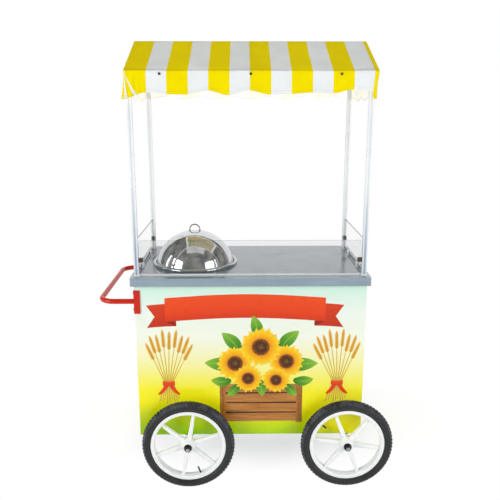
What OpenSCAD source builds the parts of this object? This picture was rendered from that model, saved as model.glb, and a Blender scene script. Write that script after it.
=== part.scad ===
// Corn steamer cart: a cabinet on four spoked wheels with a steaming pan under a dome lid,
// a low glass guard, a striped canopy on four posts and a push handle.
// Millimetres, +Z up, +X to the right of the printed front, +Y to the seller's side.
// The origin is on the floor in the middle of the cart's box.

/* [Cabinet] */
// Width over the side panels
cab_w = 970; // [880:5:1200]
// Twice the distance from the middle to the front panel's face
cab_d = 575; // [550:5:700]
// Thickness of the front and side panels
panel_t = 3; // [2:0.5:5]
// Thickness of the floor sheet
floor_t = 2; // [1:0.5:4]
// Side of the square frame tube
tube_s = 25; // [22:1:35]
// Wall of the frame tube
tube_wall = 1.5; // [1:0.25:3]

/* [Sliding doors] */
// Thickness of a door
door_t = 4; // [3:0.5:6]
// Overlap of the two closed doors
door_lap = 30; // [10:1:60]
// Gap between a closed door and the corner upright
door_side_gap = 5; // [2:0.5:12]
// Play on each side of a door in its groove
door_play = 0.5; // [0.3:0.1:1]
// Thickness of a track's ribs and base
track_rib = 3; // [2:0.5:4]
// Height of the lower track
track_low_h = 10; // [8:1:16]
// Height of the upper track
track_up_h = 14; // [11:1:20]
// Gap between the tracks and the rear uprights
track_back = 3.5; // [1:0.5:10]
// Length of the pull on a door's edge
pull_len = 200; // [80:5:300]
// Width of the pull across the door
pull_w = 20; // [12:1:30]
// Sheet thickness of the pull
pull_t = 1; // [0.8:0.1:1.5]

/* [Worktop] */
// Height of the worktop above the floor
top_h = 930; // [850:5:1000]
// Overhang past the side panels
over_x = 15; // [8:0.5:30]
// Overhang past the front panel
over_y = 12.5; // [8:0.5:30]
// Height of the folded skirt
skirt_h = 35; // [25:1:60]
// Sheet thickness of the worktop
sheet_t = 1.2; // [0.8:0.1:2]
// Outside radius of the skirt's corners
corner_r = 6; // [3:0.5:12]

/* [Steaming pan] */
// Outermost radius of the rolled rim
rim_r = 190; // [165:1:205]
// Thickness of the rolled rim
bead_d = 14; // [10:0.5:18]
// Sheet thickness of the pan
pan_t = 1.2; // [0.8:0.1:2]
// Depth of the pan below the worktop
pan_depth = 150; // [120:1:180]
// Depth of the ledge that carries the lid
ledge_depth = 6; // [3:0.5:12]
// Width of the ledge that carries the lid
ledge_w = 16; // [13:0.5:20]
// Distance from the rim to the front posts' middle plane
pan_front_gap = 31; // [24:1:60]
// Distance from the rim to the left posts' middle plane
pan_side_gap = 38; // [24:1:90]
// Height of the steam rack above the pan's bottom
rack_h = 78; // [50:1:110]
// Thickness of the steam rack
rack_t = 2; // [1:0.5:4]
// Diameter of the rack's steam holes
rack_hole_d = 9; // [6:0.5:12]
// Gap between the rack's edge and the pan's wall
rack_gap = 4; // [2:0.5:8]
// Diameter of the rack's legs
rack_leg_d = 8; // [6:0.5:12]
// Distance of the rack's legs from its edge
rack_leg_in = 47; // [20:1:80]

/* [Lid] */
// Gap between the lid's edge and the pan's collar
lid_gap = 3; // [2:0.5:12]
// Height of the dome's top above the worktop
lid_h = 149; // [120:1:165]
// Sheet thickness of the lid
lid_t = 1; // [0.8:0.1:2]
// Distance between the legs of the loop handle
loop_w = 45; // [36:1:70]
// Wire diameter of the loop handle
loop_d = 5; // [4:0.5:8]
// Height of the straight legs of the loop above the dome's top
loop_leg = 4; // [3.5:0.5:20]

/* [Burner] */
// Middle radius of the burner ring
ring_r = 75; // [60:1:95]
// Width of the burner ring
ring_w = 26; // [20:1:32]
// Height of the burner ring
ring_h = 28; // [26:1:36]
// Space from the burner to the pan's bottom
flame_gap = 46; // [30:1:70]
// Length of the mixing tube outside the ring
mixer_len = 92; // [70:1:100]
// Outside diameter of the mixing tube
mixer_d = 24; // [18:1:25]
// Wall of the mixing tube
mixer_wall = 4; // [3:0.5:6]
// Distance between the middles of the cradle's two straps
strap_span = 120; // [100:1:140]
// Width of a strap
strap_w = 25; // [18:1:35]
// Thickness of a strap
strap_t = 3; // [2:0.5:5]
// Gap between a strap's leg and the edge of the worktop's cut-out
strap_gap = 18; // [17:1:22]
// Length of the gas tap's body
tap_len = 30; // [24:1:36]
// Diameter of the tap's spindle
spindle_d = 8; // [6:0.5:10]
// Diameter of the hose barb
barb_d = 9; // [7:0.5:12]
// Length of the hose barb
barb_len = 28; // [20:1:40]
// Diameter of the tap knob
knob_d = 38; // [28:1:50]
// Thickness of the tap knob
knob_h = 16; // [14:1:20]

/* [Posts and glass] */
// Side of a post
post_s = 20; // [18:1:26]
// Length of a post
post_len = 794; // [600:1:900]
// Wall of the post's extrusion
post_wall = 2.4; // [2:0.1:3]
// Width of the groove on each face of a post
groove_w = 6; // [4:0.5:8]
// Depth of that groove
groove_t = 1.2; // [0.8:0.1:1.5]
// Distance of the posts outwards from the side rails' middle
post_out = 6.5; // [0:0.5:8]
// Distance of the posts behind the front rail's inner face
post_in = 8.5; // [6:0.5:20]
// Side of a post's foot plate
foot_s = 26; // [24:1:34]
// Thickness of a foot plate
foot_t = 5; // [3:0.5:8]
// Diameter of the bolts that hold the posts
post_bolt_d = 6; // [5:0.5:7]
// Thickness of the glass
glass_t = 4; // [3:0.5:6]
// Height of the glass guard's top above the worktop
glass_top = 149; // [120:1:220]
// Gap between a pane's end and the post beside it
glass_gap = 5; // [4:0.5:8]
// Height of the front channel's floor
channel_floor = 2; // [1:0.5:4]
// Height of the front channel
channel_h = 6; // [6:0.5:16]
// Distance of the U-clips from the middle of a side
clip_y = 110; // [60:1:160]
// Height of a U-clip
clip_h = 20; // [14:1:30]
// Height of a U-clip's floor
clip_floor = 6; // [3:0.5:9]
// Thickness of clip, clamp and channel walls beside the glass
jaw = 5; // [2.5:0.5:7]
// Height of the front clamps' middle above the worktop
front_clamp_h = 66; // [40:1:110]
// Height of the side clamps' middle above the worktop
side_clamp_h = 55; // [40:1:110]
// Length and height of a clamp
clamp_s = 18; // [14:1:26]

/* [Canopy] */
// Side of the canopy's square tube
rail_s = 20; // [16:1:26]
// Distance of the eaves outside the posts' middle
eave_out = 35; // [24:1:80]
// Height of the ridge above the eaves
roof_rise = 137; // [80:1:220]
// Drop of the valance
valance_h = 83; // [50:1:140]
// Thickness of the cover
cloth_t = 1.6; // [1.2:0.1:2.5]
// Gap between the cover and its frame
cloth_gap = 0.4; // [0.3:0.1:1]
// Height of the scallops along the hem
scallop_h = 12; // [0:1:30]
// Length of one scallop
scallop_len = 161; // [80:1:250]
// How far the folds stand out at the hem
fold_out = 3; // [0:0.5:6]
// How far the hem flares at the corners
corner_flare = 7; // [0:0.5:14]
// Distance of the outer canopy screws from the middle one
screw_span = 350; // [200:1:420]
// Distance of the canopy screws below the eaves' top
screw_drop = 9; // [7:0.5:11]

/* [Push handle] */
// Outside diameter of the handle tube
handle_d = 22; // [18:1:30]
// Wall of the handle tube
handle_wall = 2; // [1.5:0.25:3]
// Distance of the grip's middle from the side panel
handle_reach = 148; // [90:1:200]
// Distance of the handle below the worktop's top
handle_drop = 105; // [102:1:230]
// Bend radius of the handle at the tube's middle
bend_r = 45; // [30:1:70]
// Leg of the handle's angle bracket
bracket_leg = 27; // [24:1:32]
// Thickness of the angle bracket
bracket_t = 3; // [2:0.5:5]
// Height of the angle bracket
bracket_h = 102; // [70:1:130]
// Distance between a bracket's two bolts
bracket_bolt_span = 72; // [44:1:84]

/* [Wheels and axles] */
// Outside diameter of a tyre
wheel_d = 400; // [340:5:460]
// Width of a tyre
tyre_w = 47; // [42:1:56]
// Height of the tyre's section from the rim's edge to the tread
tyre_h = 39; // [32:1:46]
// Depth of the tyre's widest place below the tread
shoulder_h = 21.5; // [18:0.5:25]
// Thickness of the tyre's casing
casing_t = 4.5; // [3:0.5:6]
// Width of the rim
rim_w = 35; // [32:1:38]
// Height of the rim's flanges above the tyre's seat
flange_h = 11; // [8:0.5:14]
// Thickness of the rim's wall
rim_wall = 4; // [3:0.5:6]
// Thickness of the flanges
flange_t = 3; // [2:0.5:4]
// Width of a spoke at the hub
spoke_root = 24; // [16:1:26]
// Width of a spoke at the rim
spoke_tip = 14; // [8:1:20]
// Thickness of a spoke along the axle
spoke_t = 18; // [10:1:26]
// Diameter of the hub
hub_d = 52; // [44:1:64]
// Length of the hub
hub_len = 62; // [44:1:80]
// Diameter of an axle
axle_d = 15; // [12:0.5:18]
// Outside diameter of a wheel bearing
bearing_d = 35; // [28:1:40]
// Width of a wheel bearing
bearing_w = 11; // [8:0.5:14]
// Distance from the cabinet's face to the wheel's middle
wheel_gap = 60.5; // [54:0.5:90]
// Distance of the left axle from the left panel
left_axle_in = 216; // [60:1:300]
// Distance of the right axle from the right panel
right_axle_in = 71; // [40:1:300]
// Thickness of the saddle plates between the axles and the frame
saddle_t = 4.5; // [3:0.5:8]
// Length of a saddle plate
saddle_len = 40; // [36:1:60]
// Rod diameter of the axle's U-bolts
ubolt_d = 6; // [5:0.5:8]
// Diameter of an axle washer
washer_d = 32; // [26:1:40]
// Thickness of an axle washer
washer_t = 3; // [2:0.5:4]
// Width across the corners of an axle nut
nut_d = 26; // [23:1:30]
// Thickness of an axle nut
nut_t = 11; // [8:0.5:14]
// Length of axle that shows past its nut
axle_stub = 4; // [2:0.5:8]
// Length of a valve stem inside the rim
valve_len = 30; // [20:1:45]
// Diameter of a valve stem
valve_d = 7; // [5:0.5:9]

/* [Hidden] */
$fn = 64;

// Clearances and cutting allowances
weld = 0.2;       // keeps welded tubes separate solids
fit = 0.05;       // radial running fit
seat = 0.3;       // gap between pieces that move on each other
hole_gap = 0.3;   // radial room round a bolt
past = 1;         // how far a cutter reaches past what it cuts

// Paint and metal colours
steel = "silver";
white = "whitesmoke";
red = "orangered";
rubber = "dimgray";
glassy = [0.7, 0.9, 0.85, 0.4];

// Frame of the cabinet
frame_x = cab_w / 2 - panel_t;
frame_y = cab_d / 2 - panel_t;
axle_z = wheel_d / 2;
base_z = axle_z + axle_d / 2 + saddle_t;
rail_top = base_z + tube_s;
floor_top = rail_top + floor_t;
sheet_z = top_h - sheet_t;
top_rail_z = sheet_z - tube_s;
rail_mid_y = frame_y - tube_s / 2;
inner_x = frame_x - tube_s;
inner_y = frame_y - tube_s;

// Posts, panes and canopy
post_x = frame_x - tube_s / 2 + post_out;
post_y = inner_y - post_in;
post_bore = post_bolt_d / 2 + fit;
foot_top = top_h + foot_t;
eave_bottom = foot_top + post_len;
eave_top = eave_bottom + rail_s;
eave_x = post_x + post_s / 2;
eave_y = post_y + eave_out;
pitch = atan(roof_rise / eave_y);
slot_w = glass_t + 2 * seat;
pane_x = post_x - post_s / 2 - glass_gap;
pane_y = post_y - post_s / 2 - glass_gap;
screw_d = 4;      // canopy screws
screw_head_d = 10;
screw_head = 2.5;
screw_reach = 6;  // past the tube's wall
post_bolt_head = 4;
post_bolt_reach = 25;

// Pan, lid and burner
pan_x = -(post_x - rim_r - pan_side_gap);
pan_y = -(post_y - rim_r - pan_front_gap);
collar_r = rim_r - bead_d + pan_t;
cut_r = collar_r + 1.5;
wall_r = collar_r - ledge_w;
bead_z = bead_d / 2 + seat;
lid_r = collar_r - pan_t - lid_gap;
lid_skirt_z = bead_z;
dome_rise = lid_h - lid_skirt_z;
dome_r = (lid_r * lid_r + dome_rise * dome_rise) / (2 * dome_rise);
rack_r = wall_r - pan_t - rack_gap;
rack_leg_r = rack_r - rack_leg_in;
burner_top = top_h - pan_depth - pan_t - flame_gap;
burner_z = burner_top - ring_h;
mixer_z = burner_z + ring_h / 2;
strap_z = burner_z - strap_t;
strap_y = cut_r + strap_gap + strap_t;
strap_flange = 16;
ring_out = ring_r + ring_w / 2;
tap_y = pan_y + ring_out + mixer_len;
tap_w = 26;
spindle_len = 22;
knob_set = 5;     // distance of the knob from the tap's body

// Sliding doors
groove = door_t + 2 * door_play;
track_w = 3 * track_rib + 2 * groove;
track_y = inner_y - track_back - track_w;
door_reach = inner_x - door_side_gap;
door_low = floor_top + track_rib + seat;
door_high = sheet_z - track_rib - 3;
inner_door_y = track_y + track_rib + door_play;
outer_door_y = inner_door_y + groove + track_rib;

// Handle, wheels and axles
bracket_out = cab_d / 2 + bracket_t;
handle_y = bracket_out - bracket_leg / 2;
handle_x = cab_w / 2 + handle_reach;
handle_h = top_h - handle_drop;
bracket_bolt_d = 6;
bracket_bolt_head = 4;
bracket_bolt_across = 11;
bracket_bolt_reach = 20;
wheel_y = cab_d / 2 + wheel_gap;
left_axle_x = -(cab_w / 2 - left_axle_in);
right_axle_x = cab_w / 2 - right_axle_in;
axle_xs = [left_axle_x, right_axle_x];
hub_out = wheel_y + hub_len / 2;
axle_end = hub_out + seat + washer_t + nut_t + axle_stub;
leg_x = axle_d / 2 + seat + ubolt_d / 2;
ubolt_nut_t = 5;
ubolt_nut_d = 2 * ubolt_d;
ubolt_top = rail_top + ubolt_nut_t + 3;
flange_r = wheel_d / 2 - tyre_h;
seat_r = flange_r - flange_h;
rim_in = seat_r - rim_wall;
spoke_count = 6;
wheel_turn = [260, 111, 35, 200];  // how far each wheel has rolled, valve and spokes with it

// The cart's box is centred on the origin between the grip and the right wheels
cab_x = (handle_x + handle_d / 2 - right_axle_x - wheel_d / 2) / 2;

// Shared shapes

module on_cart() {
  translate([cab_x, 0, 0]) children();
}

module bar(lo, hi) {
  translate(lo) cube(hi - lo);
}

// Square tube between two corners, open along one axis
module tube(lo, hi, wall, along) {
  skin = [for (i = [0 : 2]) i == along ? -past : wall];
  difference() {
    bar(lo, hi);
    bar(lo + skin, hi - skin);
  }
}

module four_corners(x, y) {
  for (sx = [-1, 1], sy = [-1, 1]) translate([sx * x, sy * y, 0]) children();
}

// Rectangle of four tubes at one level, long rails front and back
module tube_ring(x, y, z, s) {
  for (sy = [0, 1]) mirror([0, sy, 0]) tube([-x, -y, z], [x, s - y, z + s], tube_wall, 0);
  for (sx = [0, 1]) mirror([sx, 0, 0])
    tube([-x, s + weld - y, z], [s - x, y - s - weld, z + s], tube_wall, 1);
}

// Cylinder lying along Y between two places
module rod_y(r, y0, y1) {
  translate([0, y1, 0]) rotate([90, 0, 0]) cylinder(r = r, h = y1 - y0);
}

// Sleeve lying along Y
module ring_y(r_out, r_in, y0, y1) {
  difference() {
    rod_y(r_out, y0, y1);
    rod_y(r_in, y0 - past, y1 + past);
  }
}

module rounded_rect(w, d, r) {
  square([w - 2 * r, d], center = true);
  square([w, d - 2 * r], center = true);
  for (sx = [-1, 1], sy = [-1, 1]) translate([sx * (w / 2 - r), sy * (d / 2 - r)]) circle(r);
}

// Cabinet

module ubolt_holes() {
  for (x = axle_xs, sx = [-1, 1], sy = [-1, 1])
    translate([x + sx * leg_x, sy * rail_mid_y, base_z - past])
      cylinder(d = ubolt_d + 2 * hole_gap, h = tube_s + 2 * past);
}

module base_frame() {
  color(white) on_cart() difference() {
    union() {
      tube_ring(frame_x, frame_y, base_z, tube_s);
      tube([-tube_s / 2, weld - inner_y, base_z], [tube_s / 2, inner_y - weld, rail_top], tube_wall, 1);
    }
    ubolt_holes();
  }
}

module bracket_bolt_places() {
  for (sy = [-1, 1], sz = [-1, 1])
    translate([-cab_w / 2, sy * handle_y, handle_h + sz * bracket_bolt_span / 2])
      rotate([0, 90, 0]) children();
}

module bracket_bolt_holes() {
  bracket_bolt_places() translate([0, 0, -bracket_t - past])
    cylinder(d = bracket_bolt_d + 2 * hole_gap, h = bracket_t + panel_t + tube_wall + 2 * past);
}

module corner_uprights() {
  color(white) on_cart() difference() {
    for (sx = [0, 1], sy = [0, 1]) mirror([sx, 0, 0]) mirror([0, sy, 0])
      tube([-frame_x, -frame_y, rail_top + weld], [-inner_x, -inner_y, top_rail_z - weld], tube_wall, 2);
    bracket_bolt_holes();
  }
}

module post_bolt_holes(z0, z1) {
  four_corners(post_x, post_y) translate([0, 0, z0])
    cylinder(d = post_bolt_d + 2 * hole_gap, h = z1 - z0);
}

module top_frame() {
  color(white) on_cart() difference() {
    tube_ring(frame_x, frame_y, top_rail_z, tube_s);
    post_bolt_holes(top_rail_z - past, sheet_z + past);
  }
}

module front_panel() {
  color("palegreen") on_cart()
    bar([-cab_w / 2, -cab_d / 2, base_z], [cab_w / 2, -frame_y, sheet_z - seat]);
}

module left_panel() {
  color("palegreen") on_cart() difference() {
    bar([-cab_w / 2, -frame_y, base_z], [-frame_x, frame_y, sheet_z - seat]);
    bracket_bolt_holes();
  }
}

module right_panel() {
  color("palegreen") on_cart()
    bar([frame_x, -frame_y, base_z], [cab_w / 2, frame_y, sheet_z - seat]);
}

// Floor sheet, notched round the uprights and drilled over the U-bolt nuts
module floor_panel() {
  color(steel) on_cart() difference() {
    bar([seat - frame_x, seat - frame_y, rail_top], [frame_x - seat, frame_y - seat, floor_top]);
    four_corners(frame_x - tube_s / 2, frame_y - tube_s / 2)
      translate([0, 0, rail_top]) cube([tube_s + 2 * seat, tube_s + 2 * seat, 4 * floor_t], center = true);
    for (x = axle_xs, sx = [-1, 1], sy = [-1, 1])
      translate([x + sx * leg_x, sy * rail_mid_y, rail_top - past])
        cylinder(d = ubolt_nut_d + 2 * past, h = floor_t + 2 * past);
  }
}

// Sliding doors

// A track's section: a base with three ribs, drawn with the base on the X axis
module track_section(h) {
  square([track_w, track_rib]);
  for (i = [0 : 2]) translate([i * (track_rib + groove), 0]) square([track_rib, h]);
}

module door_tracks() {
  track_x = inner_x - door_side_gap / 2;
  color(steel) on_cart() {
    translate([-track_x, track_y, floor_top]) rotate([90, 0, 90])
      linear_extrude(2 * track_x) track_section(track_low_h);
    translate([-track_x, track_y, sheet_z]) mirror([0, 0, 1]) rotate([90, 0, 90])
      linear_extrude(2 * track_x) track_section(track_up_h);
  }
}

module door(y) {
  bar([-door_reach, y, door_low], [door_lap / 2, y + door_t, door_high]);
}

// Channel clipped over the outer edge of a door
module door_pull(y) {
  mid = (door_low + door_high) / 2;
  difference() {
    bar([-door_reach - pull_t, y - pull_t, mid - pull_len / 2],
        [pull_w - door_reach, y + door_t + pull_t, mid + pull_len / 2]);
    bar([-door_reach, y, mid - pull_len], [pull_w, y + door_t, mid + pull_len]);
  }
}

module left_door() {
  color(white) on_cart() door(outer_door_y);
}

module left_door_pull() {
  color(steel) on_cart() door_pull(outer_door_y);
}

module right_door() {
  color(white) on_cart() mirror([1, 0, 0]) door(inner_door_y);
}

module right_door_pull() {
  color(steel) on_cart() mirror([1, 0, 0]) door_pull(inner_door_y);
}

// Worktop, pan and lid

module worktop() {
  top_w = cab_w + 2 * over_x;
  top_d = cab_d + 2 * over_y;
  color("lightsteelblue") on_cart() difference() {
    translate([0, 0, top_h - skirt_h]) linear_extrude(skirt_h) rounded_rect(top_w, top_d, corner_r);
    translate([0, 0, top_h - skirt_h - past]) linear_extrude(skirt_h + past - sheet_t)
      rounded_rect(top_w - 2 * sheet_t, top_d - 2 * sheet_t, corner_r - sheet_t);
    translate([pan_x, pan_y, sheet_z - past]) cylinder(r = cut_r, h = sheet_t + 2 * past, $fn = 128);
    post_bolt_holes(sheet_z - past, top_h + past);
  }
}

module at_pan() {
  on_cart() translate([pan_x, pan_y, top_h]) children();
}

// The pan's wall curls over into a rolled rim that rests on the worktop
module pan() {
  bead_x = rim_r - bead_d / 2;
  color(steel) at_pan() rotate_extrude($fn = 128) {
    difference() {
      translate([bead_x, bead_z]) circle(d = bead_d);
      translate([bead_x, bead_z]) circle(d = bead_d - 2 * pan_t);
      translate([collar_r, 0]) square([bead_d / 3, bead_z]);
    }
    translate([collar_r - pan_t, -ledge_depth]) square([pan_t, ledge_depth + bead_z]);
    translate([wall_r - pan_t, -ledge_depth - pan_t]) square([ledge_w + pan_t, pan_t]);
    translate([wall_r - pan_t, -pan_depth]) square([pan_t, pan_depth - ledge_depth]);
    translate([0, -pan_depth - pan_t]) square([wall_r, pan_t]);
  }
}

// Perforated plate on three legs that stand on the pan's bottom
module steam_rack() {
  rings = 4;
  ring_step = rack_r / (rings + 1);
  color(steel) at_pan() translate([0, 0, seat - pan_depth]) {
    difference() {
      translate([0, 0, rack_h]) cylinder(r = rack_r, h = rack_t);
      for (ring = [1 : rings], i = [0 : 6 * ring - 1])
        rotate([0, 0, 60 * i / ring + 15 * ring]) translate([ring * ring_step, 0, rack_h - past])
          cylinder(d = rack_hole_d, h = rack_t + 2 * past, $fn = 24);
    }
    for (a = [90 : 120 : 330]) rotate([0, 0, a]) translate([rack_leg_r, 0, 0])
      cylinder(d = rack_leg_d, h = rack_h + rack_t / 2);
  }
}

// Points of the dome's arc, from its edge to its top
dome_steps = 16;
function dome_points(r, arc) = [
  for (i = [0 : dome_steps]) let (a = arc * (1 - i / dome_steps)) [r * sin(a), lid_h - dome_r + r * cos(a)]
];
function dome_arc(r) = let (a = asin((lid_r - dome_r + r) / r)) dome_rise < lid_r ? a : 180 - a;

module lid() {
  edge_z = seat - ledge_depth;
  outer = dome_points(dome_r, dome_arc(dome_r));
  inner = dome_points(dome_r - lid_t, dome_arc(dome_r - lid_t));
  inner_back = [for (i = [len(inner) - 1 : -1 : 0]) inner[i]];
  color("gainsboro") at_pan() difference() {
    rotate_extrude($fn = 128)
      polygon(concat([[lid_r - lid_t, edge_z], [lid_r, edge_z]], outer, inner_back));
    for (sx = [-1, 1]) translate([sx * loop_w / 2, 0, lid_h / 2])
      cylinder(d = loop_d + 2 * hole_gap, h = lid_h);
  }
}

// Height of the dome's outside at a distance from its middle
function dome_z(x) = lid_h - dome_r + sqrt(dome_r * dome_r - x * x);

// Arched wire with a collar on each leg, and the nuts that hold it under the dome
module lid_handle() {
  collar = 2;
  nut = 4;
  nut_r = loop_d;
  leg_r = loop_w / 2;
  low = dome_z(leg_r + nut_r) - lid_t - seat;
  color(steel) at_pan() {
    translate([0, 0, lid_h + loop_leg]) {
      rotate([90, 0, 0]) rotate_extrude(angle = 180) translate([leg_r, 0]) circle(d = loop_d);
      for (sx = [-1, 1]) translate([sx * leg_r, 0, 0]) mirror([0, 0, 1])
        cylinder(d = loop_d, h = lid_h + loop_leg - low + nut + past);
    }
    for (sx = [-1, 1]) translate([sx * leg_r, 0, 0]) {
      translate([0, 0, dome_z(leg_r - loop_d) + seat]) cylinder(r = loop_d, h = collar);
      translate([0, 0, low - nut]) difference() {
        cylinder(r = nut_r, h = nut, $fn = 6);
        translate([0, 0, -past]) cylinder(d = loop_d + 2 * fit, h = nut + 2 * past);
      }
    }
  }
}

// Burner

// Two straps hang the burner under the worktop, one each side of the mixing tube
module burner_cradle() {
  color(steel) on_cart() translate([pan_x, pan_y, 0]) for (sx = [-1, 1])
    translate([sx * strap_span / 2 - strap_w / 2, 0, 0]) {
      bar([0, -strap_y, strap_z], [strap_w, strap_y, burner_z]);
      for (sy = [0, 1]) mirror([0, sy, 0]) {
        bar([0, -strap_y, strap_z], [strap_w, strap_t - strap_y, sheet_z]);
        bar([0, -strap_y, sheet_z - strap_t], [strap_w, strap_flange - strap_y, sheet_z]);
      }
    }
}

// Cast ring with its flame ports, cross arm and mixing tube
module burner() {
  ports = 24;
  port_d = 4;
  port_depth = 8;
  bore = mixer_d - 2 * mixer_wall;
  color("dimgray") on_cart() translate([pan_x, pan_y, burner_z]) difference() {
    union() {
      difference() {
        cylinder(r = ring_out, h = ring_h);
        translate([0, 0, -past]) cylinder(r = ring_r - ring_w / 2, h = ring_h + 2 * past);
      }
      translate([0, 0, ring_h / 2]) rod_y(mixer_d / 2, -ring_r, ring_out + mixer_len);
    }
    translate([0, 0, ring_h / 2]) rod_y(bore / 2, 0, ring_out + mixer_len + past);
    for (i = [0 : ports - 1]) rotate([0, 0, 360 * i / ports]) translate([ring_r, 0, ring_h - port_depth])
      cylinder(d = port_d, h = port_depth + past, $fn = 16);
  }
}

// Brass tap on the end of the mixing tube, with a jet, a hose barb and a spindle
module gas_tap() {
  jet = 10;
  ribs = 3;
  color("gold") on_cart() translate([pan_x, tap_y, mixer_z]) {
    bar([-tap_w / 2, 0, -tap_w / 2], [tap_w / 2, tap_len, tap_w / 2]);
    rod_y(mixer_d / 4 - 1, -jet, 1);
    rod_y(spindle_d / 2, tap_len - 1, tap_len + spindle_len);
    translate([0, tap_len / 2, -tap_w / 2 - barb_len]) cylinder(d = barb_d, h = barb_len + 1);
    for (i = [1 : ribs]) translate([0, tap_len / 2, -tap_w / 2 - 2 * i])
      cylinder(d = barb_d + 4, h = 1);
  }
}

module gas_knob() {
  grip = 8;
  y0 = tap_len + knob_set;
  color("black") on_cart() translate([pan_x, tap_y, mixer_z]) difference() {
    union() {
      rod_y(knob_d / 2, y0, y0 + knob_h / 2);
      bar([-grip / 2, y0, -knob_d / 2 + 2], [grip / 2, y0 + knob_h, knob_d / 2 - 2]);
      rod_y(spindle_d / 2 + 4, y0, y0 + knob_h);
    }
    rod_y(spindle_d / 2 + fit, y0 - past, y0 + knob_h + past);
  }
}

// Posts and glass

// Square extrusion with a groove on each face and a bolt bore held by four webs
module post_section() {
  web = 1.4;
  inside = post_s - 2 * post_wall;
  difference() {
    square(post_s, center = true);
    for (a = [0 : 90 : 270]) rotate(a) translate([-groove_w / 2, post_s / 2 - groove_t])
      square([groove_w, groove_t + past]);
    difference() {
      square(inside, center = true);
      circle(r = post_bore + 1.6);
      for (a = [45, 135]) rotate(a) square([2 * inside, web], center = true);
    }
    circle(r = post_bore);
  }
}

module post_pair(sy) {
  color(steel) on_cart() for (sx = [-1, 1])
    translate([sx * post_x, sy * post_y, foot_top]) linear_extrude(post_len) post_section();
}

module front_posts() {
  post_pair(-1);
}

module rear_posts() {
  post_pair(1);
}

module post_feet() {
  color(white) on_cart() difference() {
    four_corners(post_x, post_y) translate([-foot_s / 2, -foot_s / 2, top_h]) cube([foot_s, foot_s, foot_t]);
    post_bolt_holes(top_h - past, foot_top + past);
  }
}

// Bolts from under the top frame into the posts' bores
module post_bolts() {
  under = top_rail_z - post_bolt_head;
  color("dimgray") on_cart() four_corners(post_x, post_y) translate([0, 0, under]) {
    cylinder(d = 2 * post_bolt_d, h = post_bolt_head, $fn = 6);
    cylinder(d = post_bolt_d, h = foot_top + post_bolt_reach - under);
  }
}

module front_glass() {
  color(glassy) on_cart()
    bar([-pane_x, -post_y - glass_t / 2, top_h + channel_floor],
        [pane_x, glass_t / 2 - post_y, top_h + glass_top]);
}

module side_pane(sx) {
  color(glassy) on_cart() translate([sx * post_x, 0, 0])
    bar([-glass_t / 2, -pane_y, top_h + clip_floor], [glass_t / 2, pane_y, top_h + glass_top]);
}

module left_glass() {
  side_pane(-1);
}

module right_glass() {
  side_pane(1);
}

// Slim channel that the front pane stands in
module front_glass_channel() {
  lip = jaw / 2;
  reach = post_x - foot_s / 2 - seat;
  color(steel) on_cart() translate([0, -post_y, top_h]) difference() {
    bar([-reach, -slot_w / 2 - lip, 0], [reach, slot_w / 2 + lip, channel_h]);
    bar([-reach - past, -slot_w / 2, channel_floor], [reach + past, slot_w / 2, channel_h + past]);
  }
}

// Block on a post, slotted for the end of a pane. Drawn at a post whose pane runs along +X
module clamp_block() {
  from = post_s / 2;
  to = from + clamp_s;
  half = slot_w / 2 + jaw;
  difference() {
    bar([from, -half, -clamp_s / 2], [to, half, clamp_s / 2]);
    bar([from + glass_gap - seat, -slot_w / 2, -clamp_s], [to + past, slot_w / 2, clamp_s]);
  }
}

module front_glass_clamps() {
  color("saddlebrown") on_cart() for (sx = [0, 1]) mirror([sx, 0, 0])
    translate([-post_x, -post_y, top_h + front_clamp_h]) clamp_block();
}

module side_glass_clamps() {
  color("dimgray") on_cart() for (sx = [0, 1], sy = [0, 1]) mirror([sx, 0, 0]) mirror([0, sy, 0])
    translate([-post_x, -post_y, top_h + side_clamp_h]) rotate([0, 0, 90]) clamp_block();
}

module glass_base_clips() {
  clip_len = 22;
  half = slot_w / 2 + jaw;
  color(steel) on_cart() four_corners(post_x, clip_y) translate([0, 0, top_h]) difference() {
    bar([-half, -clip_len / 2, 0], [half, clip_len / 2, clip_h]);
    bar([-slot_w / 2, -clip_len, clip_floor], [slot_w / 2, clip_len, clip_h + past]);
  }
}

// Canopy

// Height of the frame's roof line over a place between the eaves and the ridge
function roof_z(y) = eave_top + roof_rise * (1 - abs(y) / eave_y);

// Sloping tube from an eave to the ridge tube, cut level where it sits on the eave
module rafter(x) {
  drop = rail_s / cos(pitch);
  run = eave_y / roof_rise;
  near = rail_s / 2 + weld;
  low = eave_top + weld;
  translate([x - rail_s / 2, 0, 0]) rotate([90, 0, 90]) linear_extrude(rail_s)
    polygon([
      [-eave_y + weld * run, low], [-eave_y + (weld + drop) * run, low],
      [-near, roof_z(near) - drop], [-near, roof_z(near)]
    ]);
}

module canopy_screw_places() {
  for (sx = [-1 : 1], sy = [0, 1]) mirror([0, sy, 0])
    translate([sx * screw_span, -eave_y, eave_top - screw_drop]) rotate([90, 0, 0]) children();
}

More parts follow.
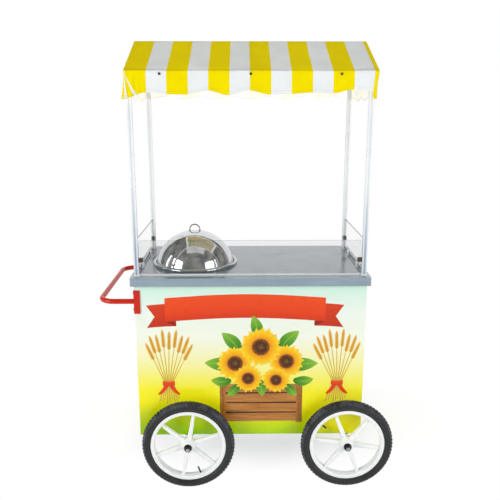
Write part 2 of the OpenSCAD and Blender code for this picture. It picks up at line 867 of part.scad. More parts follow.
// Welded roof frame with spigots that drop into the posts
module canopy_frame() {
  spigot = 30;
  ridge_z = roof_z(rail_s / 2);
  color(steel) on_cart() {
    difference() {
      for (sy = [0, 1]) mirror([0, sy, 0])
        tube([rail_s + weld - eave_x, -eave_y, eave_bottom],
             [eave_x - rail_s - weld, rail_s - eave_y, eave_top], tube_wall, 0);
      canopy_screw_places() translate([0, 0, -tube_wall - past])
        cylinder(d = screw_d + 2 * hole_gap, h = tube_wall + 2 * past);
    }
    for (sx = [-1, 1]) union() {
      translate([sx * (eave_x - rail_s / 2), 0, 0])
        tube([-rail_s / 2, -eave_y, eave_bottom], [rail_s / 2, eave_y, eave_top], tube_wall, 1);
      for (sy = [-1, 1]) translate([sx * post_x, sy * post_y, eave_bottom - spigot])
        cylinder(d = post_bolt_d, h = spigot + tube_wall);
    }
    tube([-eave_x, -rail_s / 2, ridge_z - rail_s], [eave_x, rail_s / 2, ridge_z], tube_wall, 0);
    for (x = [rail_s / 2 - eave_x, 0, eave_x - rail_s / 2], sy = [0, 1]) mirror([0, sy, 0]) rafter(x);
  }
}

// The cover is a grid round its edge: rings from the eaves down to the hem, and the ridge above
long_steps = 40;
short_steps = 20;
ring_n = 2 * (long_steps + short_steps);
drops = [0, 0.3, 0.65, 1];  // share of the valance's drop at each ring
rings = len(drops);
skin_n = rings * ring_n + long_steps + 1;

// Which side of the roof a ring point is on, from the front round to the left
function edge_side(i) = i < long_steps ? 0
  : i < long_steps + short_steps ? 1
  : i < 2 * long_steps + short_steps ? 2 : 3;
side_start = [0, long_steps, long_steps + short_steps, 2 * long_steps + short_steps];
function edge_part(i) = let (s = edge_side(i))
  (i - side_start[s]) / (s % 2 == 0 ? long_steps : short_steps);
function edge_xy(i, x, y) = let (s = edge_side(i), f = 2 * edge_part(i) - 1)
  s == 0 ? [f * x, -y] : s == 1 ? [x, f * y] : s == 2 ? [-f * x, y] : [-x, -f * y];
side_out = [[0, -1], [1, 0], [0, 1], [-1, 0]];
function edge_out(i) = let (s = edge_side(i))
  edge_part(i) == 0 ? side_out[s] + side_out[(s + 3) % 4] : side_out[s];

// Distance along a side from its middle, and how close a point is to a corner, from 0 to 1
function edge_run(i, x, y) = (edge_part(i) - 0.5) * 2 * (edge_side(i) % 2 == 0 ? x : y);
corner_run = 50;
function corner_near(i, x, y) = let (
    half = edge_side(i) % 2 == 0 ? x : y,
    d = (half - abs(edge_run(i, x, y))) / corner_run
  ) exp(-d * d);

// Outward swing of the folds and the wavy hem at a ring point
function fold_wave(i, x, y) = cos(360 * edge_run(i, x, y) / scallop_len) * (1 - corner_near(i, x, y));
flat_part = drops[1];
function swing(v) = v <= flat_part ? 0 : pow((v - flat_part) / (1 - flat_part), 1.3);
function ring_point(i, v, x, y, z) = let (
    wave = fold_wave(i, x, y),
    off = swing(v) * (fold_out * (1 + wave) + corner_flare * corner_near(i, x, y)),
    p = edge_xy(i, x, y) + off * edge_out(i)
  ) [p[0], p[1], z - v * valance_h + v * v * scallop_h / 2 * wave];
function skin(x, y, z_eave, z_ridge) = concat(
  [for (v = drops, i = [0 : ring_n - 1]) ring_point(i, v, x, y, z_eave)],
  [for (j = [0 : long_steps]) [x * (2 * j / long_steps - 1), 0, z_ridge]]
);

// Triangles of one skin, facing out, and the same turned to face in
function at(r, i) = r * ring_n + i % ring_n;
function ridge_at(j) = rings * ring_n + j;
skirt_faces = [
  for (r = [0 : rings - 2], i = [0 : ring_n - 1])
    each [[at(r, i), at(r, i + 1), at(r + 1, i + 1)], [at(r, i), at(r + 1, i + 1), at(r + 1, i)]]
];
slope_faces = [
  for (j = [0 : long_steps - 1]) let (b = side_start[2] + j, k = long_steps - j)
    each [
      [ridge_at(j), ridge_at(j + 1), at(0, j + 1)], [ridge_at(j), at(0, j + 1), at(0, j)],
      [ridge_at(k), ridge_at(k - 1), at(0, b + 1)], [ridge_at(k), at(0, b + 1), at(0, b)]
    ]
];
gable_faces = [
  for (i = [0 : short_steps - 1]) let (r = side_start[1] + i, l = side_start[3] + i)
    each [[ridge_at(long_steps), at(0, r + 1), at(0, r)], [ridge_at(0), at(0, l + 1), at(0, l)]]
];
outer_faces = concat(skirt_faces, slope_faces, gable_faces);
inner_faces = [for (f = outer_faces) [f[0] + skin_n, f[2] + skin_n, f[1] + skin_n]];
hem_faces = [
  for (i = [0 : ring_n - 1]) let (a = at(rings - 1, i), b = at(rings - 1, i + 1))
    each [[a, b, b + skin_n], [a, b + skin_n, a + skin_n]]
];

module canopy_cover() {
  in_x = eave_x + cloth_gap;
  in_y = eave_y + cloth_gap;
  in_z = eave_top + cloth_gap;
  in_ridge = eave_top + roof_rise + 2 * cloth_gap;
  lift = cloth_t / cos(pitch);
  color("gold") on_cart() difference() {
    polyhedron(
      points = concat(
        skin(in_x + cloth_t, in_y + cloth_t, in_z + lift, in_ridge + lift),
        skin(in_x, in_y, in_z, in_ridge)),
      faces = concat(outer_faces, inner_faces, hem_faces),
      convexity = 6);
    canopy_screw_places() cylinder(d = screw_d + 2 * hole_gap, h = 4 * (cloth_t + cloth_gap), $fn = 16);
  }
}

module canopy_screws() {
  reach = tube_wall + screw_reach;
  under = cloth_gap + cloth_t + seat;
  color("dimgray") on_cart() canopy_screw_places() {
    translate([0, 0, -reach]) cylinder(d = screw_d, h = reach + under + screw_head / 2);
    translate([0, 0, under]) cylinder(d = screw_head_d, h = screw_head);
  }
}

// Push handle

module handle_path(r) {
  arm = handle_x - cab_w / 2 - bracket_t - bend_r;
  translate([-cab_w / 2 - bracket_t - arm, 0, handle_h]) {
    for (sy = [-1, 1]) translate([0, sy * handle_y, 0]) rotate([0, 90, 0]) cylinder(r = r, h = arm);
    for (sy = [0, 1]) mirror([0, sy, 0]) translate([0, bend_r - handle_y, 0]) rotate([0, 0, 180])
      rotate_extrude(angle = 90) translate([bend_r, 0]) circle(r);
    translate([-bend_r, 0, 0]) rod_y(r, bend_r - handle_y, handle_y - bend_r);
  }
}

module push_handle() {
  color(red) on_cart() difference() {
    handle_path(handle_d / 2);
    handle_path(handle_d / 2 - handle_wall);
  }
}

// Angles round the left corners of the cabinet, welded to the handle's ends
module handle_brackets() {
  z0 = handle_h - bracket_h / 2;
  face = -cab_w / 2;
  color(red) on_cart() difference() {
    for (sy = [0, 1]) mirror([0, sy, 0]) union() {
      bar([face - bracket_t, -bracket_out, z0], [face, bracket_leg - bracket_out, z0 + bracket_h]);
      bar([face - bracket_t, -bracket_out, z0],
          [face - bracket_t + bracket_leg, bracket_t - bracket_out, z0 + bracket_h]);
    }
    bracket_bolt_holes();
  }
}

module handle_bolts() {
  color(steel) on_cart() bracket_bolt_places() translate([0, 0, -bracket_t]) {
    translate([0, 0, -bracket_bolt_head]) cylinder(d = bracket_bolt_across, h = bracket_bolt_head, $fn = 6);
    translate([0, 0, -bracket_bolt_head / 4]) cylinder(d = bracket_bolt_d, h = bracket_bolt_reach);
  }
}

// Axles

module axle(x) {
  color(steel) on_cart() translate([x, 0, axle_z]) rod_y(axle_d / 2, -axle_end, axle_end);
}

module left_axle() {
  axle(left_axle_x);
}

module right_axle() {
  axle(right_axle_x);
}

module saddle_places() {
  on_cart() for (x = axle_xs, sy = [-1, 1]) translate([x, sy * rail_mid_y, 0]) children();
}

module axle_saddles() {
  color("dimgray") saddle_places() difference() {
    bar([-saddle_len / 2, -tube_s / 2, axle_z + axle_d / 2 + fit], [saddle_len / 2, tube_s / 2, base_z]);
    for (sx = [-1, 1]) translate([sx * leg_x, 0, axle_z])
      cylinder(d = ubolt_d + 2 * hole_gap, h = axle_d + saddle_t);
  }
}

// U-bolts round the axles, with a nut on each leg above the rail
module axle_ubolts() {
  color("dimgray") saddle_places() {
    translate([0, 0, axle_z]) rotate([-90, 0, 0]) rotate_extrude(angle = 180)
      translate([leg_x, 0]) circle(d = ubolt_d);
    for (sx = [-1, 1]) translate([sx * leg_x, 0, 0]) {
      translate([0, 0, axle_z]) cylinder(d = ubolt_d, h = ubolt_top - axle_z);
      translate([0, 0, rail_top]) difference() {
        cylinder(d = ubolt_nut_d, h = ubolt_nut_t, $fn = 6);
        translate([0, 0, -past]) cylinder(d = ubolt_d + 2 * fit, h = ubolt_nut_t + 2 * past);
      }
    }
  }
}

// Sleeves between the frame's saddles and the wheels
module axle_spacers() {
  color(steel) on_cart() for (x = axle_xs, sy = [0, 1]) mirror([0, sy, 0])
    translate([x, 0, axle_z])
      ring_y(axle_d / 2 + saddle_t - past, axle_d / 2 + fit, frame_y + seat, wheel_y - hub_len / 2 - seat);
}

module axle_nuts() {
  y0 = hub_out + seat;
  y1 = y0 + washer_t;
  color("dimgray") on_cart() for (x = axle_xs, sy = [0, 1]) mirror([0, sy, 0])
    translate([x, 0, axle_z]) {
      ring_y(washer_d / 2, axle_d / 2 + fit, y0, y1);
      difference() {
        translate([0, y1 + weld + nut_t, 0]) rotate([90, 0, 0]) cylinder(d = nut_d, h = nut_t, $fn = 6);
        rod_y(axle_d / 2 + fit, y1, y1 + weld + nut_t + past);
      }
    }
}

// Wheels: 0 front left, 1 front right, 2 rear left, 3 rear right

module at_wheel(n) {
  on_cart() translate([axle_xs[n % 2], (n < 2 ? -1 : 1) * wheel_y, axle_z])
    rotate([90, 0, 0]) rotate([0, 0, wheel_turn[n]]) children();
}

// One-piece moulded wheel: a channel rim, six tapering spokes and a bored hub
module rim(n) {
  half = rim_w / 2;
  color(white) at_wheel(n) difference() {
    union() {
      rotate_extrude($fn = 128) polygon([
        [rim_in, -half], [flange_r, -half], [flange_r, flange_t - half], [seat_r, flange_t + 1 - half],
        [seat_r, half - flange_t - 1], [flange_r, half - flange_t], [flange_r, half], [rim_in, half]
      ]);
      cylinder(d = hub_d, h = hub_len, center = true);
      for (i = [0 : spoke_count - 1]) rotate([0, 0, 360 * i / spoke_count])
        linear_extrude(spoke_t, center = true) polygon([
          [hub_d / 3, -spoke_root / 2], [rim_in + 1, -spoke_tip / 2],
          [rim_in + 1, spoke_tip / 2], [hub_d / 3, spoke_root / 2]
        ]);
    }
    cylinder(d = bearing_d - 6, h = hub_len + 2 * past, center = true);
    for (sz = [0, 1]) mirror([0, 0, sz]) translate([0, 0, hub_len / 2 - bearing_w])
      cylinder(d = bearing_d, h = bearing_w + past);
    rotate([0, 0, 180 / spoke_count]) translate([rim_in - past, 0, 0]) rotate([0, 90, 0])
      cylinder(d = valve_d + 2 * hole_gap, h = rim_wall + 2 * past);
  }
}

// Points across a tyre's section, from one bead over the tread to the other
casing_steps = 9;
casing_turn = 128;
function casing_arc(mid, a, b) = [
  for (i = [-casing_steps : casing_steps]) let (t = casing_turn * i / casing_steps)
    [mid + a * cos(t), b * sin(t)]
];

module tyre(n) {
  bead_out = rim_w / 2 - flange_t - 1 - seat;
  bead_in = bead_out - casing_t + 0.5;
  bead_low = seat_r + seat;
  neck = flange_r + seat + 1;
  mid = wheel_d / 2 - shoulder_h;
  outer = casing_arc(mid, shoulder_h, tyre_w / 2);
  inner = casing_arc(mid, shoulder_h - casing_t, tyre_w / 2 - casing_t);
  inner_back = [for (i = [len(inner) - 1 : -1 : 0]) inner[i]];
  color(rubber) at_wheel(n) rotate_extrude($fn = 128) polygon(concat(
    outer, [[neck, bead_out], [bead_low, bead_out], [bead_low, bead_in], [neck, bead_in]],
    inner_back, [[neck, -bead_in], [bead_low, -bead_in], [bead_low, -bead_out], [neck, -bead_out]]
  ));
}

module valve(n) {
  color("black") at_wheel(n) rotate([0, 0, 180 / spoke_count]) rotate([0, 90, 0]) {
    translate([0, 0, rim_in - valve_len]) cylinder(d = valve_d, h = valve_len + rim_wall + 2);
    translate([0, 0, seat_r + seat]) cylinder(d = valve_d + 6, h = 2);
  }
}

module bearings(n) {
  color(steel) at_wheel(n) for (sz = [0, 1]) mirror([0, 0, sz])
    translate([0, 0, hub_len / 2 - bearing_w]) difference() {
      cylinder(d = bearing_d, h = bearing_w);
      translate([0, 0, -past]) cylinder(d = axle_d + 2 * fit, h = bearing_w + 2 * past);
    }
}

base_frame();
corner_uprights();
top_frame();
front_panel();
left_panel();
right_panel();
floor_panel();
door_tracks();
left_door();
left_door_pull();
right_door();
right_door_pull();
worktop();
pan();
steam_rack();
lid();
lid_handle();
burner_cradle();
burner();
gas_tap();
gas_knob();
front_posts();
rear_posts();
post_feet();
post_bolts();
front_glass();
left_glass();
right_glass();
front_glass_channel();
front_glass_clamps();
side_glass_clamps();
glass_base_clips();
canopy_frame();
canopy_cover();
canopy_screws();
push_handle();
handle_brackets();
handle_bolts();
left_axle();
right_axle();
axle_saddles();
axle_ubolts();
axle_spacers();
axle_nuts();
rim(0);  // front_left_rim
tyre(0);  // front_left_tyre
valve(0);  // front_left_valve
bearings(0);  // front_left_bearings
rim(1);  // front_right_rim
tyre(1);  // front_right_tyre
valve(1);  // front_right_valve
bearings(1);  // front_right_bearings
rim(2);  // rear_left_rim
tyre(2);  // rear_left_tyre
valve(2);  // rear_left_valve
bearings(2);  // rear_left_bearings
rim(3);  // rear_right_rim
tyre(3);  // rear_right_tyre
valve(3);  // rear_right_valve
bearings(3);  // rear_right_bearings
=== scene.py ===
import math
import random
import bmesh
import bpy
from mathutils import Matrix, Vector, noise


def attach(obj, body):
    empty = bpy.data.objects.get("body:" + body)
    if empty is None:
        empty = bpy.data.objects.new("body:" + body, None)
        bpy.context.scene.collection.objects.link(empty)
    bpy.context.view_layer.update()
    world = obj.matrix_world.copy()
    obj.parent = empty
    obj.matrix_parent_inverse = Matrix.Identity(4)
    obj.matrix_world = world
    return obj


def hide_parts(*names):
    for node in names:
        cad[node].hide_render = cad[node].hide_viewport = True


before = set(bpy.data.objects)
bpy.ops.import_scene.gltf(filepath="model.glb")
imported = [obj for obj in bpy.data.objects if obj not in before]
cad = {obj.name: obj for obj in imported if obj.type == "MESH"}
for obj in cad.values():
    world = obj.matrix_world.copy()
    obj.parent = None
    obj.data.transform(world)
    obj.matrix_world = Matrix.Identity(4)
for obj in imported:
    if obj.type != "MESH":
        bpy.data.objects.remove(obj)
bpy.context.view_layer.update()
pi = math.pi
random.seed(7)
print("frame loaded,", len(cad), "nodes")


# shader helpers

def paint(r, g, b):
    # colour as picked on screen, 0 to 255, made linear
    out = []
    for c in (r / 255, g / 255, b / 255):
        out.append(c / 12.92 if c <= 0.04045 else ((c + 0.055) / 1.055) ** 2.4)
    return tuple(out)


def painted(stops):
    return [(spot, paint(*colour)) for spot, colour in stops]


def feed(tree, target, sockets):
    # another node's output is linked, a number or colour is set on the socket
    for key, value in sockets.items():
        if isinstance(value, bpy.types.NodeSocket):
            tree.links.new(value, target.inputs[key])
        else:
            target.inputs[key].default_value = value


def node(tree, kind, sockets=None, **settings):
    made = tree.nodes.new("ShaderNode" + kind)
    for key, value in settings.items():
        setattr(made, key, value)
    feed(tree, made, sockets or {})
    return made


def maths(tree, how, a, b=None):
    made = node(tree, "Math", {0: a}, operation=how)
    if b is not None:
        feed(tree, made, {1: b})
    return made.outputs[0]


def plus(tree, a, b):
    return maths(tree, "ADD", a, b)


def minus(tree, a, b):
    return maths(tree, "SUBTRACT", a, b)


def times(tree, a, b):
    return maths(tree, "MULTIPLY", a, b)


def below(tree, a, b):
    return maths(tree, "LESS_THAN", a, b)


def above(tree, a, b):
    return maths(tree, "GREATER_THAN", a, b)


def larger(tree, a, b):
    return maths(tree, "MAXIMUM", a, b)


def smaller(tree, a, b):
    return maths(tree, "MINIMUM", a, b)


def unsigned(tree, a):
    return maths(tree, "ABSOLUTE", a)


def apart(tree, a, b):
    return unsigned(tree, minus(tree, a, b))


def axes(tree, vector):
    split = node(tree, "SeparateXYZ", {0: vector})
    return split.outputs["X"], split.outputs["Y"], split.outputs["Z"]


def distance(tree, a, b):
    return node(tree, "VectorMath", {0: a, 1: b}, operation="DISTANCE").outputs["Value"]


def spread(tree, value, low, high, fromLow=0.3, fromHigh=0.7, how="LINEAR"):
    ends = {"From Min": fromLow, "From Max": fromHigh, "To Min": low, "To Max": high}
    return node(tree, "MapRange", {"Value": value, **ends}, interpolation_type=how).outputs[0]


def stretched(tree, vector, scale, shift=(0, 0, 0)):
    return node(tree, "Mapping", {"Vector": vector, "Scale": scale, "Location": shift}).outputs[0]


def places(tree, scale=(1, 1, 1), middle=(0, 0, 0)):
    # object coordinates, stretched, with the origin moved to middle
    spot = node(tree, "TexCoord").outputs["Object"]
    return stretched(tree, spot, scale, [-m * s for m, s in zip(middle, scale)])


def uvMap(tree, name):
    return node(tree, "UVMap", uv_map=name).outputs[0]


def cloud(tree, vector, scale, detail=5.0, roughness=0.6):
    look = {"Vector": vector, "Scale": scale, "Detail": detail, "Roughness": roughness}
    return node(tree, "TexNoise", look).outputs["Fac"]


def tones(tree, value, stops, how="LINEAR"):
    ramp = node(tree, "ValToRGB", {"Fac": value})
    ramp.color_ramp.interpolation = how
    marks = ramp.color_ramp.elements
    while len(marks) < len(stops):
        marks.new(0.5)
    for mark, (spot, colour) in zip(marks, stops):
        mark.position = spot
        mark.color = (*colour, 1)
    return ramp.outputs["Color"]


def shades(tree, value, dark, light, low=0.3, high=0.7):
    return tones(tree, value, painted([(low, dark), (high, light)]))


def mixColours(tree, share, a, b):
    a, b = [(*end, 1) if isinstance(end, tuple) else end for end in (a, b)]
    return node(tree, "Mix", {0: share, 6: a, 7: b}, data_type="RGBA").outputs[2]


def addBump(tree, bsdf, height, relief, under=None):
    made = node(tree, "Bump", {"Strength": 1.0, "Distance": relief, "Height": height})
    if under is not None:
        feed(tree, made, {"Normal": under})
    feed(tree, bsdf, {"Normal": made.outputs[0]})
    return made.outputs[0]


# objects

def addObject(name, data):
    made = bpy.data.objects.new(name, data)
    bpy.context.scene.collection.objects.link(made)
    return made


def toMesh(bm, name):
    mesh = bpy.data.meshes.new(name)
    bm.to_mesh(mesh)
    bm.free()
    return mesh


# camera, lights and floor

shot = {
    "place": (-0.0194, -2.6585, 1.6066),
    "yaw": 0.76, "pitch": 13.283, "roll": -0.003,  # degrees
    "focalPixels": 594.83, "framePixels": 500, "sensor": 36.0,
}


def aimCamera():
    data = bpy.data.cameras.new("photoCamera")
    data.sensor_width = shot["sensor"]
    data.lens = shot["focalPixels"] / shot["framePixels"] * shot["sensor"]
    data.clip_end = 200
    cam = addObject("photoCamera", data)
    turn = Matrix.Rotation(-math.radians(shot["yaw"]), 4, "Z")
    turn = turn @ Matrix.Rotation(pi / 2 - math.radians(shot["pitch"]), 4, "X")
    turn = turn @ Matrix.Rotation(math.radians(shot["roll"]), 4, "Z")
    cam.matrix_world = Matrix.Translation(shot["place"]) @ turn
    bpy.context.scene.camera = cam


studio = {
    "ambient": 0.4,  # world light on diffuse surfaces
    # the room behind the camera as polished metal sees it: where it starts, its patches, its tones
    "roomEdge": (0.65, 0.55), "roomPatches": 2.6, "roomTones": (0.03, 0.36), "roomTint": (1.0, 0.88, 0.72),
    "boxes": [
        # name, place, aim, width, height, watts, shown in polished metal
        ("softLeft", (-3.2, -2.3, 1.6), (0.0, 0.0, 0.9), 2.2, 2.6, 84, True),
        ("softRight", (2.8, -2.8, 1.6), (0.0, 0.0, 0.9), 2.0, 2.6, 65, True),
        ("softTop", (0.0, -0.6, 4.6), (0.0, 0.0, 0.0), 3.2, 3.2, 16, True),
        ("softRear", (0.4, 3.6, 2.1), (0.0, 0.0, 0.9), 2.6, 2.4, 70, False),
        ("stripLeft", (-3.3, -0.2, 1.5), (-0.2, 0.0, 1.0), 0.35, 2.2, 5, True),
        ("stripRight", (3.0, -1.2, 1.5), (-0.2, 0.0, 1.0), 0.3, 2.2, 4, True),
    ],
    "floorHalf": 40, "floorTone": 0.64, "floorGlow": 0.46,
    # where the floor's shade sits, how it is stretched, and where it fades, metres
    "shadeMiddle": (0.03, 0.35, 0.0), "shadeStretch": (0.55, 1.0, 1.0), "floorFade": (0.34, 0.64),
}


def hangLights():
    for name, place, aim, width, height, watts, mirrored in studio["boxes"]:
        data = bpy.data.lights.new(name, "AREA")
        data.shape = "RECTANGLE"
        data.size = width
        data.size_y = height
        data.energy = watts
        lamp = addObject(name, data)
        lamp.location = place
        lamp.visible_glossy = mirrored
        lamp.rotation_mode = "QUATERNION"
        lamp.rotation_quaternion = (Vector(aim) - Vector(place)).to_track_quat("-Z", "Y")


def seenRays(tree):
    # 1 for camera, glossy and transmission rays, and the glossy ones alone
    path = node(tree, "LightPath").outputs
    seen = plus(tree, path["Is Camera Ray"], path["Is Glossy Ray"])
    seen = plus(tree, seen, path["Is Transmission Ray"])
    return smaller(tree, seen, 1.0), path["Is Glossy Ray"]


def setWorld():
    world = bpy.data.worlds.new("studioWorld")
    bpy.context.scene.world = world
    world.use_nodes = True
    tree = world.node_tree
    tree.nodes.clear()
    seen, glossy = seenRays(tree)
    # polished metal sees the darker room behind the camera, and white elsewhere
    way = node(tree, "TexCoord").outputs["Generated"]
    front = spread(tree, axes(tree, way)[1], 0.0, 1.0, *studio["roomEdge"], "SMOOTHSTEP")
    clutter = cloud(tree, way, studio["roomPatches"], 2.0, 0.5)
    dim = spread(tree, clutter, *studio["roomTones"], 0.35, 0.7)
    plain = plus(tree, seen, times(tree, minus(tree, 1.0, seen), studio["ambient"]))
    bright = node(tree, "Background", {"Color": (1, 1, 1, 1), "Strength": plain}).outputs[0]
    room = node(tree, "Background", {"Color": (*studio["roomTint"], 1), "Strength": dim}).outputs[0]
    back = node(tree, "MixShader", {"Fac": times(tree, glossy, front), 1: bright, 2: room}).outputs[0]
    node(tree, "OutputWorld", {"Surface": back})


def layFloor():
    bm = bmesh.new()
    bmesh.ops.create_grid(bm, x_segments=2, y_segments=2, size=studio["floorHalf"])
    floor = addObject("paleFloor", toMesh(bm, "paleFloor"))
    mat = bpy.data.materials.new("paleFloor")
    mat.use_nodes = True
    tree = mat.node_tree
    tree.nodes.clear()
    # keeps the shadow near the cart and runs out to plain white
    far = distance(tree, places(tree, studio["shadeStretch"]), studio["shadeMiddle"])
    fade = spread(tree, far, 0.0, 1.0, *studio["floorFade"], "SMOOTHSTEP")
    seen = seenRays(tree)[0]
    # light that bounces off the floor keeps its full tone
    tone = times(tree, minus(tree, 1.0, times(tree, fade, seen)), studio["floorTone"])
    level = plus(tree, times(tree, fade, 1.0 - studio["floorGlow"]), studio["floorGlow"])
    diffuse = node(tree, "BsdfDiffuse", {"Color": tone}).outputs[0]
    glow = node(tree, "Emission", {"Strength": times(tree, seen, level)}).outputs[0]
    both = node(tree, "AddShader", {0: diffuse, 1: glow}).outputs[0]
    node(tree, "OutputMaterial", {"Surface": both})
    floor.data.materials.append(mat)


bpy.context.scene.view_settings.view_transform = "Standard"
aimCamera()
hangLights()
setWorld()
layFloor()
print("studio ready")


# finishes

finish = {}
cartMidX = 0.015  # halfway between the side panels


def startMat(name, metal=0.0):
    mat = bpy.data.materials.new(name)
    mat.use_nodes = True
    bsdf = mat.node_tree.nodes["Principled BSDF"]
    bsdf.inputs["Metallic"].default_value = metal
    finish[name] = mat
    return mat.node_tree, bsdf


# light and dark tone, roughness low and high, metal, grain size, stretch, relief in metres, coat,
# and the gloss where it isn't 0.5
plainFinishes = {
    "framePaint": ((238, 240, 240), (224, 227, 228), 0.3, 0.42, 0.0, 700, (1, 1, 1), 0.00004, 0.2),
    "doorBoard": ((240, 241, 240), (230, 232, 232), 0.38, 0.5, 0.0, 500, (1, 1, 1), 0.00003, 0.0),
    "floorSteel": ((190, 194, 197), (165, 169, 173), 0.3, 0.5, 0.9, 90, (1, 12, 1), 0.00003, 0.0),
    "trackAluminium": ((212, 214, 216), (192, 195, 198), 0.3, 0.45, 0.8, 120, (0.05, 1, 1), 0.00002, 0.0),
    "zincSteel": ((190, 193, 195), (150, 153, 156), 0.28, 0.5, 0.9, 160, (1, 1, 1), 0.00003, 0.0),
    "darkSteel": ((84, 82, 78), (48, 47, 45), 0.28, 0.5, 0.85, 220, (1, 1, 1), 0.00004, 0.0),
    "axleSteel": ((186, 188, 190), (150, 152, 155), 0.25, 0.42, 0.95, 140, (1, 0.05, 1), 0.00002, 0.0),
    # painted highlight: the post feet are near white with no metal, standing in for the bright highlights on
    # them
    "footPaintedHighlight": ((250, 250, 250), (238, 240, 242), 0.26, 0.4, 0.0, 200, (1, 1, 1), 0.00002, 0.0),
    "burnerIron": ((70, 68, 66), (40, 39, 38), 0.65, 0.9, 0.3, 240, (1, 1, 1), 0.0003, 0.0),
    "tapBrass": ((206, 172, 92), (172, 136, 62), 0.22, 0.4, 1.0, 160, (1, 1, 1), 0.00003, 0.0),
    "knobPlastic": ((34, 34, 35), (22, 22, 23), 0.35, 0.55, 0.0, 500, (1, 1, 1), 0.00004, 0.0),
    "clampBronze": ((88, 62, 44), (52, 36, 26), 0.3, 0.5, 0.3, 260, (1, 1, 1), 0.00004, 0.2),
    "clampGrey": ((112, 116, 122), (70, 74, 80), 0.3, 0.5, 0.4, 260, (1, 1, 1), 0.00004, 0.2),
    "clipSteel": ((252, 252, 252), (232, 235, 238), 0.16, 0.3, 0.15, 200, (1, 1, 1), 0.00002, 0.0),
    "handleRed": ((204, 36, 0), (192, 30, 0), 0.16, 0.24, 0.0, 90, (1, 1, 1), 0.000004, 0.0, 0.34),
    "rimWhite": ((250, 252, 252), (242, 245, 246), 0.3, 0.42, 0.0, 130, (1, 1, 1), 0.00004, 0.15),
    "channelWhite": ((250, 251, 252), (238, 241, 243), 0.2, 0.32, 0.1, 160, (0.05, 1, 1), 0.00002, 0.2),
    "valveRubber": ((34, 34, 34), (20, 20, 20), 0.6, 0.8, 0.0, 400, (1, 1, 1), 0.0001, 0.0),
    "bearingSteel": ((176, 178, 181), (146, 148, 152), 0.15, 0.3, 1.0, 300, (1, 1, 1), 0.00002, 0.0),
}


def makePlain(name, light, dark, roughLow, roughHigh, metal, grain, stretch, relief, coat, gloss=0.5):
    tree, bsdf = startMat(name, metal)
    fine = cloud(tree, places(tree, stretch), grain)
    smudge = cloud(tree, places(tree), 7.0, 3.0)  # broad handling marks
    both = plus(tree, times(tree, fine, 0.5), times(tree, smudge, 0.5))
    feed(tree, bsdf, {
        "Base Color": shades(tree, both, dark, light, 0.36, 0.62),
        "Roughness": spread(tree, smudge, roughLow, roughHigh),
        "Specular IOR Level": gloss, "Coat Weight": coat, "Coat Roughness": 0.12})
    addBump(tree, bsdf, fine, relief)


def coatPrint(tree, bsdf):
    # clear layer over everything printed
    dustAndShade = cloud(tree, places(tree), 9.0)
    feed(tree, bsdf, {
        "Roughness": spread(tree, dustAndShade, 0.18, 0.32),
        "Specular IOR Level": 0.25, "Coat Weight": 0.15, "Coat Roughness": 0.08})
    addBump(tree, bsdf, cloud(tree, places(tree), 14.0, 2.0), 0.00006)
    return dustAndShade


sheetPrint = {
    # height on the panel in metres, colour: green, yellow, white and mint
    "stops": [(0.21, (160, 217, 4)), (0.36, (249, 242, 4)), (0.42, (250, 242, 34)), (0.47, (249, 242, 101)),
              (0.66, (243, 247, 229)), (0.78, (234, 244, 233)), (0.9, (203, 240, 222))],
    "hillHigh": 0.09, "hillsEnd": (0.34, 0.52), "bladeHigh": 0.012,
    "fieldRise": 0.1, "fieldX": (0.24, 0.4), "fieldZ": (0.3, 0.42),  # where the field runs out to yellow
    "frontY": -0.287, "sideX": 0.4846,  # outside of the sheets
}


def makePrintedSheet():
    s = sheetPrint
    tree, bsdf = startMat("printedSheet")
    x, y, z = axes(tree, places(tree))
    hills = cloud(tree, places(tree, (2.2, 1, 0.6)), 1.6, 2.0, 0.4)
    low = spread(tree, z, s["hillHigh"], 0.0, *s["hillsEnd"])
    height = plus(tree, z, times(tree, minus(tree, hills, 0.5), low))
    toRight = spread(tree, x, 0.0, s["fieldRise"], *s["fieldX"])
    lowDown = spread(tree, z, 1.0, 0.0, *s["fieldZ"])
    height = plus(tree, height, times(tree, toRight, lowDown))
    blades = cloud(tree, places(tree, (60, 1, 5)), 3.0, 3.0)
    height = plus(tree, height, times(tree, minus(tree, blades, 0.5), s["bladeHigh"]))
    bottom, top = s["stops"][0][0], s["stops"][-1][0]
    stops = painted([((up - bottom) / (top - bottom), colour) for up, colour in s["stops"]])
    inked = tones(tree, spread(tree, height, 0.0, 1.0, bottom, top), stops)
    # the print is on the outside only
    outside = larger(tree, below(tree, y, s["frontY"]), above(tree, apart(tree, x, cartMidX), s["sideX"]))
    bare = shades(tree, coatPrint(tree, bsdf), (228, 231, 231), (238, 240, 240))
    feed(tree, bsdf, {"Base Color": mixColours(tree, outside, bare, inked)})


film = {"topZ": 0.9298, "paintedLightStripY": -0.26, "creases": 3.4, "creaseWide": 0.012, "creaseHigh": 0.00014,
        "waveHigh": 0.0006}


